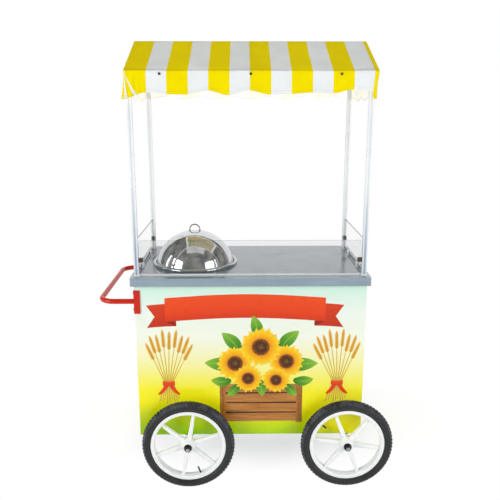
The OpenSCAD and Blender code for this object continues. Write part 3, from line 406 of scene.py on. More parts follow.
def makeWorktopFilm():
    # stainless sheet under a creased clear film, which mirrors what stands on it
    tree, bsdf = startMat("worktopFilm", 0.15)
    streaks = cloud(tree, places(tree, (1.2, 9, 9)), 6.0, 6.0)
    y, z = axes(tree, places(tree))[1:]
    # painted light: the skirt and the strip in front of the glass get lighter copies of the top's steel
    # tone, though it is one sheet
    paintedLightSkirt = shades(tree, streaks, (119, 139, 155), (133, 153, 169))
    flat = shades(tree, streaks, (64, 84, 96), (80, 100, 112))
    paintedLightStrip = shades(tree, streaks, (95, 118, 133), (109, 132, 147))  # brighter in front of the glass
    flat = mixColours(tree, below(tree, y, film["paintedLightStripY"]), flat, paintedLightStrip)
    feed(tree, bsdf, {
        "Base Color": mixColours(tree, above(tree, z, film["topZ"]), paintedLightSkirt, flat),
        "Roughness": spread(tree, cloud(tree, places(tree), 11.0), 0.3, 0.45),
        "Coat Weight": 1.0, "Coat Roughness": 0.03, "Coat IOR": 1.8})
    bend = node(tree, "TexNoise", {"Vector": places(tree), "Scale": 5.0}).outputs["Color"]
    bent = mixColours(tree, 0.12, places(tree, (1, 2.6, 1)), bend)
    crease = node(tree, "TexVoronoi", {"Vector": bent, "Scale": film["creases"]}, feature="DISTANCE_TO_EDGE")
    ridge = spread(tree, crease.outputs["Distance"], 1.0, 0.0, 0.0, film["creaseWide"])
    patch = spread(tree, cloud(tree, places(tree), 3.0, 1.0), 0.0, 1.0, 0.48, 0.62)
    base = addBump(tree, bsdf, cloud(tree, places(tree), 4.0, 2.0), film["waveHigh"])
    relief = addBump(tree, bsdf, times(tree, ridge, patch), film["creaseHigh"], base)
    feed(tree, bsdf, {"Coat Normal": relief})


panMiddle = (-0.233, -0.03, 0.93)


def makeSpunSteel(name, light, dark, roughLow, roughHigh, relief, wobble):
    tree, bsdf = startMat(name, 1.0)
    # lines left by spinning and polishing, round the pan's middle
    far = distance(tree, places(tree, (1, 1, 0), panMiddle), (0, 0, 0))
    up = axes(tree, places(tree, (1, 1, 1), panMiddle))[2]
    rings = cloud(tree, node(tree, "CombineXYZ", {"X": far, "Y": up}).outputs[0], 420.0, 4.0)
    feed(tree, bsdf, {
        "Base Color": shades(tree, rings, dark, light),
        "Roughness": spread(tree, cloud(tree, places(tree), 16.0), roughLow, roughHigh)})
    base = addBump(tree, bsdf, cloud(tree, places(tree), 13.0, 1.0), wobble)
    addBump(tree, bsdf, rings, relief, base)


postPlace = {"x": 0.476, "y": 0.251, "groove": 0.0038, "paintedPaleFrom": 1.02, "paintedPaleTo": 1.32}


def makePostAluminium(name, lowDark, lowLight, grooveLow):
    p = postPlace
    tree, bsdf = startMat(name, 0.12)
    drawn = cloud(tree, places(tree, (1, 1, 0.012)), 420.0, 3.0)
    x, y, z = axes(tree, places(tree))
    low = shades(tree, drawn, lowDark, lowLight)
    # painted light: higher up the posts fade to a paler tone, where the canopy shades them
    high = shades(tree, drawn, (242, 245, 247), (249, 250, 251))
    up = spread(tree, z, 0.0, 1.0, p["paintedPaleFrom"], p["paintedPaleTo"])
    # painted shade in the groove along each face, darkest low down
    offX = apart(tree, apart(tree, x, cartMidX), p["x"])
    offY = apart(tree, unsigned(tree, y), p["y"])
    inGrooveShade = below(tree, smaller(tree, offX, offY), p["groove"])
    groove = mixColours(tree, up, paint(*grooveLow), paint(232, 236, 240))
    feed(tree, bsdf, {
        "Base Color": mixColours(tree, inGrooveShade, mixColours(tree, up, low, high), groove),
        "Roughness": spread(tree, cloud(tree, places(tree), 5.0, 2.0), 0.26, 0.34)})
    addBump(tree, bsdf, drawn, 0.00001)


def makePaneGlass(name, across, clear, tint, footShadeZ):
    tree, bsdf = startMat(name)
    # the ground edges are dark and green: told by which way a face points
    facing = node(tree, "VectorTransform", {0: node(tree, "NewGeometry").outputs["Normal"]},
                  vector_type="NORMAL", convert_from="WORLD", convert_to="OBJECT")
    sides = axes(tree, facing.outputs[0])
    # painted shade and painted reflection: the lowest few millimetres of each face take the dark edge
    # colour, for the worktop's mirror image of the edge and the shade where the pane meets it
    foot = below(tree, axes(tree, places(tree))[2], footShadeZ)
    edge = larger(tree, below(tree, unsigned(tree, sides[across]), 0.5), foot)
    flat = larger(tree, unsigned(tree, sides[2]), foot)
    wipe = cloud(tree, places(tree, (1, 1, 4)), 6.0)
    solid = times(tree, edge, spread(tree, flat, 0.3, 0.85, 0.0, 1.0))
    feed(tree, bsdf, {
        "Base Color": mixColours(tree, edge, paint(*tint), paint(22, 42, 38)),
        "Roughness": larger(tree, spread(tree, wipe, 0.02, 0.06), times(tree, edge, 0.9)),
        "Alpha": larger(tree, solid, clear)})


tyrePlace = {"leftX": -0.254, "rightX": 0.429, "z": 0.2, "treadFrom": 0.184, "treadTo": 0.191}


def makeTyreRubber():
    p = tyrePlace
    tree, bsdf = startMat("tyreRubber")
    grit = cloud(tree, places(tree), 260.0)
    dustAndShade = cloud(tree, places(tree), 22.0)
    both = plus(tree, times(tree, grit, 0.4), times(tree, dustAndShade, 0.6))
    # the tread is greyer and bluer than the walls, partly wear and partly a painted glint of light on the
    # tread: told by how far it is from its axle
    spot = axes(tree, places(tree))
    aside = smaller(tree, apart(tree, spot[0], p["leftX"]), apart(tree, spot[0], p["rightX"]))
    up = minus(tree, spot[2], p["z"])
    far = maths(tree, "SQRT", plus(tree, times(tree, aside, aside), times(tree, up, up)))
    tread = spread(tree, far, 0.0, 1.0, p["treadFrom"], p["treadTo"])
    wall = shades(tree, both, (22, 23, 24), (50, 51, 52), 0.35, 0.7)
    wornAndGlint = shades(tree, both, (30, 31, 35), (92, 96, 106), 0.4, 0.62)
    feed(tree, bsdf, {
        "Base Color": mixColours(tree, tread, wall, wornAndGlint),
        "Roughness": spread(tree, dustAndShade, 0.42, 0.7), "Specular IOR Level": 0.4})
    addBump(tree, bsdf, grit, 0.0002)


for name, values in plainFinishes.items():
    makePlain(name, *values)
makePrintedSheet()
makeWorktopFilm()
makeSpunSteel("lidMirror", (224, 226, 229), (210, 212, 215), 0.05, 0.11, 0.000004, 0.0016)
makeSpunSteel("loopSteel", (150, 150, 148), (112, 112, 110), 0.12, 0.2, 0.000004, 0.0001)
makeSpunSteel("panSteel", (214, 215, 216), (188, 190, 192), 0.06, 0.12, 0.00001, 0.0003)
makePostAluminium("postAluminium", (206, 215, 224), (226, 232, 238), (158, 176, 194))
# painted light: the rear posts get a lighter copy of the same aluminium, where the canopy and worktop shade
# them
makePostAluminium("rearPostPaintedLight", (238, 242, 245), (247, 249, 251), (226, 232, 237))
makePaneGlass("frontGlass", 1, 0.12, (150, 158, 162), 0.934)
makePaneGlass("sideGlass", 0, 0.06, (176, 190, 190), 0.9405)
makeTyreRubber()
print("finishes made:", len(finish))

nodeFinish = {
    "framePaint": ["base_frame", "corner_uprights", "top_frame", "canopy_frame"],
    "printedSheet": ["front_panel", "left_panel", "right_panel"],
    "floorSteel": ["floor_panel"],
    "trackAluminium": ["door_tracks", "left_door_pull", "right_door_pull"],
    "channelWhite": ["front_glass_channel"],
    "doorBoard": ["left_door", "right_door"],
    "worktopFilm": ["worktop"],
    "panSteel": ["pan", "steam_rack"],
    "lidMirror": ["lid"],
    "loopSteel": ["lid_handle"],
    "zincSteel": ["burner_cradle", "post_bolts", "handle_bolts", "axle_ubolts"],
    "burnerIron": ["burner"],
    "tapBrass": ["gas_tap"],
    "knobPlastic": ["gas_knob"],
    "postAluminium": ["front_posts"],
    "rearPostPaintedLight": ["rear_posts"],
    "footPaintedHighlight": ["post_feet"],
    "frontGlass": ["front_glass"],
    "sideGlass": ["left_glass", "right_glass"],
    "clampBronze": ["front_glass_clamps"],
    "clampGrey": ["side_glass_clamps"],
    "clipSteel": ["glass_base_clips"],
    "darkSteel": ["canopy_screws", "axle_saddles", "axle_nuts"],
    "handleRed": ["push_handle", "handle_brackets"],
    "axleSteel": ["left_axle", "right_axle", "axle_spacers"],
}
corners = ("front_left", "front_right", "rear_left", "rear_right")
wheelParts = {"rimWhite": "_rim", "tyreRubber": "_tyre", "valveRubber": "_valve",
              "bearingSteel": "_bearings"}
for name, part in wheelParts.items():
    nodeFinish[name] = [corner + part for corner in corners]
for name, members in nodeFinish.items():
    for member in members:
        cad[member].data.materials.clear()
        cad[member].data.materials.append(finish[name])
print("frame dressed")


# making pieces

def finishPiece(bm, name, body, look, sharp):
    bmesh.ops.remove_doubles(bm, verts=bm.verts, dist=1e-6)
    bmesh.ops.recalc_face_normals(bm, faces=bm.faces)
    mesh = toMesh(bm, name)
    mesh.shade_smooth()
    mesh.set_sharp_from_angle(angle=math.radians(sharp))
    mesh.materials.append(finish[look])
    piece = addObject(name, mesh)
    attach(piece, body)
    return piece


def spinProfile(bm, points, middle, axis, across, steps, closed=False):
    # points are (radius, place along the axis)
    axis, across, middle = Vector(axis), Vector(across), Vector(middle)
    verts = [bm.verts.new(middle + across * r + axis * h) for r, h in points]
    edges = [bm.edges.new(pair) for pair in zip(verts, verts[1:])]
    if closed:
        edges.append(bm.edges.new((verts[-1], verts[0])))
    bmesh.ops.spin(bm, geom=verts + edges, cent=middle, axis=axis, angle=2 * pi, steps=steps, use_merge=True)


def thicken(piece, depth):
    wall = piece.modifiers.new("wall", "SOLIDIFY")
    wall.thickness = depth
    wall.offset = -1.0
    wall.use_even_offset = True
    return wall


def swell(x, middle, wide):
    # 1 at the middle, dying away on both sides
    return math.exp(-((x - middle) / wide) ** 2)


# canopy: one striped coated cloth over the gable frame

canopy = {
    "midX": 0.0185, "halfX": 0.4912, "eaveY": 0.288, "eaveZ": 1.7512, "ridgeZ": 1.8886, "ridgeSoft": 0.005,
    "stripe": 0.0802, "stripeStart": 0.0036, "yellowShare": 0.511, "thick": 0.0012,
    "eaveUp": 0.1, "sideStart": 20.65,  # the pattern's height at the front eave, its start on the left side
    "columns": 196,
    "slopeSteps": [0, .014, .03, .05, .075, .1, .13, .165, .2, .24, .28, .33, .38, .43, .48, .53, .58,
                   .63, .68, .73, .78, .83, .88, .92, .955, .98, .993, 1],
    "dropSteps": [0, .03, .07, .12, .19, .27, .36, .45, .54, .63, .72, .8, .87, .94, 1],
    # front hem below the eave at each stripe's edge, from the left
    "frontHem": [.106, .082, .088, .089, .074, .091, .074, .089, .086, .082, .085, .071, .077, .104],
    "sideHem": .102, "backHem": .09, "sideWave": 0.007, "backWave": 0.006, "sideBlend": 0.05,
    "sag": 0.006, "bay": 0.476, "ripple": 0.0012,
    "eaveDip": 0.0065, "dipAt": 0.07, "dipWide": 0.045,
    "foldOut": 0.0035, "pleat": 0.005, "pleatLength": 0.026, "pleatReach": 0.045, "otherCorners": 0.15,
    "cornerHold": 0.012, "swingPower": 1.4, "waveShift": 0.03,
    "sideBulge": 0.013, "bulgeAt": 0.03, "bulgeWide": 0.022,
    "screwsX": (-0.335, 0.015, 0.365), "screwShare": 0.12, "screwReach": 0.03, "screwPull": 0.0012,
    # how far each corner of the hem swings out: x, y, reach along the hem
    "corners": {(-1, -1): (-.003, -.007, .04), (1, -1): (-.019, -.004, .016),
                (-1, 1): (-.008, .007, .04), (1, 1): (.009, .007, .04)},
    "fanFront": 0.062, "fanSide": 0.03, "fanCore": 0.12, "fanSpan": (-70.0, 40.0),  # gathered corner
    "hemLine": 0.011, "threadHalf": 0.0006, "stitchStep": 0.005, "stitchShare": 0.7,
    "hemEdge": (0.0118, 0.0128), "hemThick": 0.0006,  # the doubled hem's edge and step
    "eaveShadeSpan": (-0.002, 0.03),  # up the slope from the eave
    "roofEdge": 0.012, "valanceEdge": (0.01, 0.02),  # how softly the roof's and valances' tones start
}
slopeLength = math.hypot(canopy["eaveY"], canopy["ridgeZ"] - canopy["eaveZ"])
backEave = canopy["eaveUp"] + 2 * slopeLength


def hemDrop(x, side):
    c = canopy
    if side > 0:
        return c["backHem"] + c["backWave"] * math.cos(2 * pi * (x - c["midX"]) / (2 * c["stripe"]))
    along = (x - c["midX"] + c["halfX"]) / c["stripe"]
    table = c["frontHem"]
    i = min(int(along), len(table) - 2)
    t = min(1.0, (along - i) / min(1.0, (2 * c["halfX"] / c["stripe"]) - i))
    t = t * t * (3 - 2 * t)
    return table[i] * (1 - t) + table[i + 1] * t


def hang(x, y, share, outward):
    # swing of the valance at a place on the eave's line, share is 0 at the eave and 1 at the hem
    c = canopy
    dx = x - c["midX"]
    sx, sy = (1 if dx >= 0 else -1), (1 if y >= 0 else -1)
    along = abs(y) if outward[0] else abs(dx)
    room = (c["eaveY"] if outward[0] else c["halfX"]) - along
    flareX, flareY, reach = c["corners"][(sx, sy)]
    near = swell(room, 0, reach)
    swing = share ** c["swingPower"]
    wave = math.cos(2 * pi * (y if outward[0] else dx + c["waveShift"]) / (2 * c["stripe"]))
    rough = noise.noise(Vector((x * 9, y * 9, share * 2.2)))
    fold = c["foldOut"] * (1.1 + wave + 0.8 * rough) * swing
    gathered = swell(room, 0, c["pleatReach"]) * share
    if sx > 0 or sy > 0:
        gathered *= c["otherCorners"]  # only the front left corner is gathered
    pleats = c["pleat"] * math.sin(2 * pi * room / c["pleatLength"]) * gathered
    out = (fold + pleats) * (1 - swell(room, 0, c["cornerHold"]))
    if outward[0] < 0 and sy < 0:
        out += c["sideBulge"] * swell(room, c["bulgeAt"], c["bulgeWide"]) * swing
    if not outward[0]:
        for screw in c["screwsX"]:
            reachTo = math.hypot(x - screw, (share - c["screwShare"]) * c["backHem"])
            out += c["screwPull"] * (1 - swell(reachTo, 0, c["screwReach"])) * share / 3
    return Vector((out * outward[0] + flareX * near * swing, out * outward[1] + flareY * near * swing, 0))


def slopePoint(x, t, side):
    # t is 0 at the eave and 1 at the ridge
    c = canopy
    y = c["eaveY"] * (1 - t)
    soft = c["ridgeSoft"]
    z = c["ridgeZ"] - (c["ridgeZ"] - c["eaveZ"]) * (math.hypot(y, soft) - soft) / (c["eaveY"] - soft / 2)
    dx = x - c["midX"]
    bay = abs(math.sin(pi * dx / c["bay"])) if abs(dx) < c["bay"] else 0
    sag = c["sag"] * bay * math.sin(pi * t) ** 0.8
    rough = noise.noise(Vector((x * 14, y * 5, side * 3.0)))
    ripple = c["ripple"] * rough * math.sin(pi * min(1, t * 3)) * bay
    uneven = 0.75 + 0.5 * noise.noise(Vector((x * 7, side * 2.0, 4.0)))
    dip = c["eaveDip"] * swell(t, c["dipAt"], c["dipWide"]) * uneven * min(1.0, bay * 1.6)
    return Vector((x, side * y, z - sag + ripple - dip))


def buildCanopy():
    c = canopy
    bm = bmesh.new()
    stripes = bm.loops.layers.uv.new("stripes")
    fan = bm.loops.layers.uv.new("fan")
    edge = bm.loops.layers.uv.new("hem")

    def panel(wide, high, shape):
        # a grid shaped by a function of its column and row, which also gives the pattern's coordinates
        made = bmesh.ops.create_grid(bm, x_segments=wide, y_segments=high, size=0.5)
        facts = {}
        for v in made["verts"]:
            column, row = round((v.co.x + 0.5) * wide), round((v.co.y + 0.5) * high)
            spot, facts[v] = shape(column, row)
            v.co = spot
        for face in {f for v in made["verts"] for f in v.link_faces}:
            for loop in face.loops:
                along, up, radial, inFan, aboveHem = facts[loop.vert]
                loop[stripes].uv = (along, up)
                loop[fan].uv = (radial, inFan)
                loop[edge].uv = (aboveHem, 0)

    drops, slopes = c["dropSteps"], c["slopeSteps"]
    path = [("drop", -1, s) for s in reversed(drops)] + [("slope", -1, t) for t in slopes[1:]]
    path += [("slope", 1, t) for t in reversed(slopes[:-1])] + [("drop", 1, s) for s in drops[1:]]

    def mainShape(column, row):
        kind, side, share = path[row]
        x = c["midX"] - c["halfX"] + 2 * c["halfX"] * column / c["columns"]
        along = x - c["midX"] + c["halfX"]
        if kind == "slope":
            up = c["eaveUp"] + slopeLength * (share if side < 0 else 2 - share)
            return slopePoint(x, share, side), (along, up, 100.0, 0.0, 0.2)
        drop = hemDrop(x, side)
        eave = slopePoint(x, 0.0, side)
        spot = eave + Vector((0, 0, -drop * share)) + hang(x, side * c["eaveY"], share, (0, side))
        up = c["eaveUp"] - drop * share if side < 0 else backEave + drop * share
        radial = -along * 1000 / max(share, c["fanCore"])
        inFan = 1.0 if side < 0 and along < c["fanFront"] else 0.0
        return spot, (along, up, radial, inFan, drop * (1 - share))

    panel(c["columns"], len(path) - 1, mainShape)

    across = [(-1, t) for t in slopes] + [(1, t) for t in reversed(slopes[:-1])]
    for sx in (-1, 1):
        x = c["midX"] + sx * c["halfX"]

        def sideShape(column, row):
            side, t = across[column]
            top = slopePoint(x, t, side)
            room = c["eaveY"] - abs(top.y)
            endDrop = hemDrop(x, side)
            blend = swell(room, 0, c["sideBlend"])
            waved = c["sideHem"] + c["sideWave"] * math.cos(2 * pi * top.y / (2 * c["stripe"]))
            low = c["eaveZ"] - (endDrop * blend + waved * (1 - blend))
            eave = slopePoint(x, 0.0, side).z
            low = eave - endDrop if room < 1e-6 else low
            z = top.z + (low - top.z) * drops[row]
            under = max(0.0, (eave - z) / (eave - low))
            spot = Vector((x, top.y, z)) + hang(x, top.y, under, (sx, 0))
            if sx > 0:
                along = 2 * c["halfX"] + top.y + c["eaveY"]
            else:
                along = c["sideStart"] * c["stripe"] - (top.y + c["eaveY"])
            radial = room * 1000 / max(under, c["fanCore"]) if side < 0 else 100.0
            inFan = 1.0 if sx < 0 and side < 0 and room < c["fanSide"] and under > 0 else 0.0
            return spot, (along, z - c["eaveZ"] + c["eaveUp"], radial, inFan, z - low)

        panel(len(across) - 1, len(drops) - 1, sideShape)

    bmesh.ops.remove_doubles(bm, verts=bm.verts, dist=2e-5)
    bmesh.ops.recalc_face_normals(bm, faces=bm.faces)
    upward = sum(f.normal.z * f.calc_area() for f in bm.faces)
    if upward < 0:
        bmesh.ops.reverse_faces(bm, faces=bm.faces)
    return bm


def startCloth(name):
    # what both sides of the cloth share: soft creases, blots, and where the yellow stripes are
    c = canopy
    tree, bsdf = startMat(name)
    uv = uvMap(tree, "stripes")
    along, up = axes(tree, uv)[:2]
    start = larger(tree, minus(tree, along, c["stripeStart"]), 0.0)
    turn = maths(tree, "FRACT", maths(tree, "DIVIDE", start, 2 * c["stripe"]))
    blot = cloud(tree, uv, 9.0, 4.0)
    feed(tree, bsdf, {"Roughness": spread(tree, blot, 0.6, 0.75), "Specular IOR Level": 0.03})
    base = addBump(tree, bsdf, cloud(tree, uv, 26.0, 4.0), 0.0009)
    return tree, bsdf, blot, below(tree, turn, c["yellowShare"]), up, base


def letThrough(tree, bsdf, colour, share):
    # thin enough for the light behind it to show through
    glow = node(tree, "BsdfTranslucent", {"Color": colour}).outputs[0]
    both = node(tree, "MixShader", {"Fac": share, 1: bsdf.outputs[0], 2: glow}).outputs[0]
    feed(tree, tree.nodes["Material Output"], {"Surface": both})


def makeCanopyCloth():
    c = canopy
    tree, bsdf, blot, yellow, up, base = startCloth("canopyCloth")
    uv = uvMap(tree, "stripes")
    # the gathered corner, where the stripes fan out from the eave; the white bands there are partly the
    # stripes and partly painted highlights on the pleats
    radial, inFan = axes(tree, uvMap(tree, "fan"))[:2]
    one, none = (1, 1, 1), (0, 0, 0)
    fannedStripesAndHighlights = tones(tree, spread(tree, radial, 0.0, 1.0, *c["fanSpan"]), [
        (0.0, one), (0.17, none), (0.27, one), (0.48, none), (0.57, one), (0.82, none)], "CONSTANT")
    yellow = mixColours(tree, above(tree, inFan, 0.5), yellow, fannedStripesAndHighlights)
    strong = shades(tree, blot, (242, 220, 0), (248, 229, 0))
    pale = shades(tree, blot, (233, 237, 239), (241, 244, 246))
    colour = mixColours(tree, yellow, pale, strong)
    # stitched hem
    aboveHem = axes(tree, uvMap(tree, "hem"))[0]
    line = below(tree, apart(tree, aboveHem, c["hemLine"]), c["threadHalf"])
    turn = maths(tree, "FRACT", maths(tree, "DIVIDE", axes(tree, uv)[0], c["stitchStep"]))
    dash = below(tree, turn, c["stitchShare"])
    colour = mixColours(tree, times(tree, times(tree, line, dash), 0.25), colour, paint(120, 112, 70))
    # painted shade along the fold at the eaves
    fromEave = minus(tree, slopeLength, apart(tree, up, c["eaveUp"] + slopeLength))
    dustAndShade = tones(tree, spread(tree, fromEave, 0.0, 1.0, *c["eaveShadeSpan"]), [
        (0.0, none), (0.05, none), (0.12, one), (0.3, (0.6, 0.6, 0.6)), (1.0, none)])
    eaveShade = times(tree, dustAndShade, spread(tree, blot, 0.1, 0.3))
    colour = mixColours(tree, eaveShade, colour, paint(96, 84, 20))
    feed(tree, bsdf, {"Base Color": colour})
    thread = {"Vector": uv, "Scale": 220.0, "Distortion": 0.6}
    weft, warp = [node(tree, "TexWave", thread, bands_direction=way).outputs["Fac"] for way in "XY"]
    fine = addBump(tree, bsdf, times(tree, weft, warp), 0.00008, base)
    addBump(tree, bsdf, spread(tree, aboveHem, 1.0, 0.0, *c["hemEdge"]), c["hemThick"], fine)
    # the valances are seen from inside against the light, which comes through pale
    near, far = c["valanceEdge"]
    onFront = spread(tree, up, 1.0, 0.0, c["eaveUp"] - near, c["eaveUp"])
    onBack = spread(tree, up, 0.0, 1.0, backEave - near, backEave + far)
    onDrop = larger(tree, onFront, onBack)
    inside = times(tree, onDrop, node(tree, "NewGeometry").outputs["Backfacing"])
    share = plus(tree, times(tree, inside, 0.8), spread(tree, onDrop, 0.16, 0.1, 0.0, 1.0))
    letThrough(tree, bsdf, mixColours(tree, inside, colour, paint(252, 251, 246)), share)


def makeCanopyLining():
    # the inside is the plain coated side, with the stripes faintly through it
    tree, bsdf, blot, yellow, up = startCloth("canopyLining")[:5]
    pale = shades(tree, blot, (246, 247, 246), (252, 252, 251))
    warm = shades(tree, blot, (250, 248, 234), (252, 250, 240))
    # under the roof the tone is yellower
    roofPale = shades(tree, blot, (246, 236, 188), (250, 241, 200))
    roofWarm = shades(tree, blot, (244, 230, 164), (248, 236, 178))
    eaveUp, edge = canopy["eaveUp"], canopy["roofEdge"]
    underRoof = times(tree, spread(tree, up, 0.0, 1.0, eaveUp, eaveUp + edge),
                      spread(tree, up, 1.0, 0.0, backEave - edge, backEave))
    colour = mixColours(tree, underRoof, mixColours(tree, yellow, pale, warm),
                        mixColours(tree, yellow, roofPale, roofWarm))
    feed(tree, bsdf, {"Base Color": colour})
    letThrough(tree, bsdf, colour, spread(tree, underRoof, 0.62, 0.3, 0.0, 1.0))


makeCanopyCloth()
makeCanopyLining()
cover = finishPiece(buildCanopy(), "canopyCloth", "cart", "canopyCloth", 60)
cover.data.materials.append(finish["canopyLining"])
thicken(cover, canopy["thick"]).material_offset = 1
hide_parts("canopy_cover")
print("canopy made")


# print on the front panel: a bare ribbon, a crate of sunflowers, two sheaves of wheat

poster = {
    "faceY": -0.2875, "step": 0.00005,  # the panel's face, and the thickness of one layer of print
    # x, z, radius, turn in degrees
    "flowers": [(-0.052, 0.548, 0.080, 8), (0.168, 0.556, 0.078, 3), (0.058, 0.622, 0.090, 0),
                (0.004, 0.478, 0.064, 5), (0.124, 0.470, 0.060, 11)],
    # x, z, direction in degrees, length, width, bend
    "leaves": [(-0.06, 0.52, 152, 0.125, 0.060, 0.3), (0.18, 0.52, 26, 0.125, 0.060, -0.3),
               (-0.03, 0.60, 120, 0.115, 0.056, 0.25), (0.14, 0.61, 58, 0.115, 0.056, -0.25),
               (0.05, 0.66, 98, 0.105, 0.050, 0.12), (0.20, 0.47, -14, 0.085, 0.046, 0.35),
               (-0.07, 0.47, 196, 0.085, 0.046, -0.35), (0.062, 0.47, 268, 0.075, 0.044, 0.1),
               (0.17, 0.45, 300, 0.07, 0.040, 0.2), (-0.04, 0.45, 240, 0.07, 0.040, -0.2)],
    "petals": 17, "seedShare": 0.42, "petalStart": 0.86, "petalWide": 0.3, "petalBend": 0.12,
    # how wide each kind of blade starts, and how square its sides are
    "petalForm": (0.2, 0.85), "leafForm": (0.06, 0.8), "kernelForm": (0.12, 0.8), "tieForm": (0.3, 0.3),
    "crate": {"left": -0.115, "right": 0.235, "low": 0.275, "high": 0.452, "slats": 4, "gap": 0.007,
              "post": 0.026, "inset": 0.004, "proud": 0.006, "tilt": 0.0015,
              "nail": 0.0021, "nailApart": 0.009},
    # waist x and z, lean in degrees
    "sheaves": [(-0.338, 0.462, 2), (0.388, 0.462, -2)],
    "stalks": 9, "fan": 25, "stalkLength": 0.115, "stalkWide": 0.004, "waist": 0.034,
    "stalkSwell": 0.32, "stalkStagger": 0.012,
    "stubFan": 34, "stubLength": 0.082, "stubWide": 0.005, "stubStagger": 0.01,
    "earPairs": 7, "earStep": 0.0092, "kernel": (0.021, 0.0095), "tipKernel": (0.018, 0.009),
    "kernelShrink": 0.0008, "kernelSplay": 0.42, "kernelBend": 0.3,
    "tie": (0.052, 0.02), "tieEnd": (0.066, 0.017), "tieLow": 0.004, "tieBow": 0.004, "knot": 0.006,
    "tieSplay": 24, "tieBend": 0.3,
    "ribbon": {"left": -0.345, "right": 0.330, "midZ": 0.800, "tall": 0.104, "arch": 0.014, "tail": 0.078,
               "fold": 0.046, "drop": 0.022, "notch": 0.034, "tailDip": 0.008, "tailShare": 0.96,
               "lap": 0.002},
}


def pressPlate(bm, faces, lift, shapeOf):
    # a flat shape with its own coordinates, made solid down to the panel
    uv = bm.loops.layers.uv["shape"]
    for face in faces:
        for loop in face.loops:
            loop[uv].uv = shapeOf(loop.vert)
    made = bmesh.ops.extrude_face_region(bm, geom=faces, use_keep_orig=True)
    back = [v for v in made["geom"] if isinstance(v, bmesh.types.BMVert)]
    bmesh.ops.translate(bm, vec=(0, lift, 0), verts=back)


def plate(bm, wide, high, level, shape):
    # shape gives x and z for u and v from 0 to 1
    lift = level * poster["step"]
    verts = bmesh.ops.create_grid(bm, x_segments=wide, y_segments=high, size=0.5)["verts"]
    spots = {v: (v.co.x + 0.5, v.co.y + 0.5) for v in verts}
    for v, (u, t) in spots.items():
        x, z = shape(u, t)
        v.co = Vector((x, poster["faceY"] - lift, z))
    pressPlate(bm, list({f for v in verts for f in v.link_faces}), lift, lambda v: spots[v])


def disc(bm, x, z, radius, level, segments):
    lift = level * poster["step"]
    place = Matrix.Translation((x, poster["faceY"] - lift, z)) @ Matrix.Rotation(pi / 2, 4, "X")
    made = bmesh.ops.create_circle(bm, cap_ends=True, segments=segments, radius=radius, matrix=place)

    def shapeOf(v):
        return 0.5 + (v.co.x - x) / radius / 2, 0.5 + (v.co.z - z) / radius / 2

    pressPlate(bm, list({f for v in made["verts"] for f in v.link_faces}), lift, shapeOf)


def onward(x, z, far, angle):
    return x + far * math.cos(angle), z + far * math.sin(angle)


def blade(x, z, direction, length, width, bend, base, power):
    # petals, leaves and kernels: a pointed shape along a bent line
    def shape(u, t):
        turn = direction + bend * (t - 0.2)
        half = width / 2 * max(0.03, math.sin(pi * (base + (1 - base) * t))) ** power
        across = (u - 0.5) * 2 * half
        spotX, spotZ = onward(x, z, length * t, turn)
        return spotX - across * math.sin(turn), spotZ + across * math.cos(turn)
    return shape


def stick(x, z, length, angle, wide):
    def shape(u, t):
        spotX, spotZ = onward(x, z, length * t, angle)
        return spotX + (u - 0.5) * wide, spotZ
    return shape


def board(x0, x1, z0, z1, tilt=0.0):
    def shape(u, t):
        return x0 + (x1 - x0) * u, z0 + (z1 - z0) * t + tilt * (u - 0.5)
    return shape


def startPrint():
    bm = bmesh.new()
    bm.loops.layers.uv.new("shape")
    return bm


def placePrint(bm, name, ink):
    finishPiece(bm, name, "cart", ink, 40)


def printRibbon():
    r = poster["ribbon"]
    wide = r["right"] - r["left"]

    def middle(u):
        return r["midZ"] + r["arch"] * (math.cos(pi * (u - 0.5) * 1.1) - 0.6)

    def front(u, t):
        return r["left"] + wide * u, middle(u) + (t - 0.5) * r["tall"]

    band, tails, folds = startPrint(), startPrint(), startPrint()
    plate(band, 40, 4, 7, front)
    placePrint(band, "ribbonBand", "ribbonInk")
    for side in (-1, 1):
        end = r["left"] if side < 0 else r["right"]

        def tail(u, t):
            notch = r["notch"] * (1 - abs(2 * t - 1)) * u
            x = end + side * (-r["fold"] + (r["fold"] + r["tail"]) * u - notch)
            z = middle(0) - r["drop"] - r["tailDip"] * u * u + (t - 0.5) * r["tall"] * r["tailShare"]
            return x, z

        def fold(u, t):
            z = middle(0) - r["tall"] / 2 + r["lap"] - r["drop"] * u * (1 - t)
            return end - side * r["fold"] * u, z

        plate(tails, 12, 6, 2, tail)
        plate(folds, 4, 1, 4, fold)
    placePrint(tails, "ribbonTails", "ribbonTailInk")
    placePrint(folds, "ribbonFolds", "ribbonFoldInk")


def printCrate():
    c = poster["crate"]
    left, right, low, high, inset = c["left"], c["right"], c["low"], c["high"], c["inset"]
    dark, slats, posts, nails = startPrint(), startPrint(), startPrint(), startPrint()
    plate(dark, 2, 2, 2, board(left + inset, right - inset, low + inset, high - inset))
    placePrint(dark, "crateInside", "crateShadeInk")
    tall = (high - low - (c["slats"] - 1) * c["gap"]) / c["slats"]
    feet = [low + i * (tall + c["gap"]) for i in range(c["slats"])]
    for i, foot in enumerate(feet):
        plate(slats, 8, 2, 4, board(left, right, foot, foot + tall, c["tilt"] * (-1) ** i))
    for x in (left - inset, right + inset - c["post"]):
        plate(posts, 2, 8, 6, board(x, x + c["post"], low - c["proud"], high + c["proud"]))
        for foot in feet:
            for off in (-c["nailApart"], c["nailApart"]):
                disc(nails, x + c["post"] / 2, foot + tall / 2 + off, c["nail"], 8, 12)
    placePrint(slats, "crateSlats", "crateInk")
    placePrint(posts, "cratePosts", "cratePostInk")
    placePrint(nails, "crateNails", "crateShadeInk")


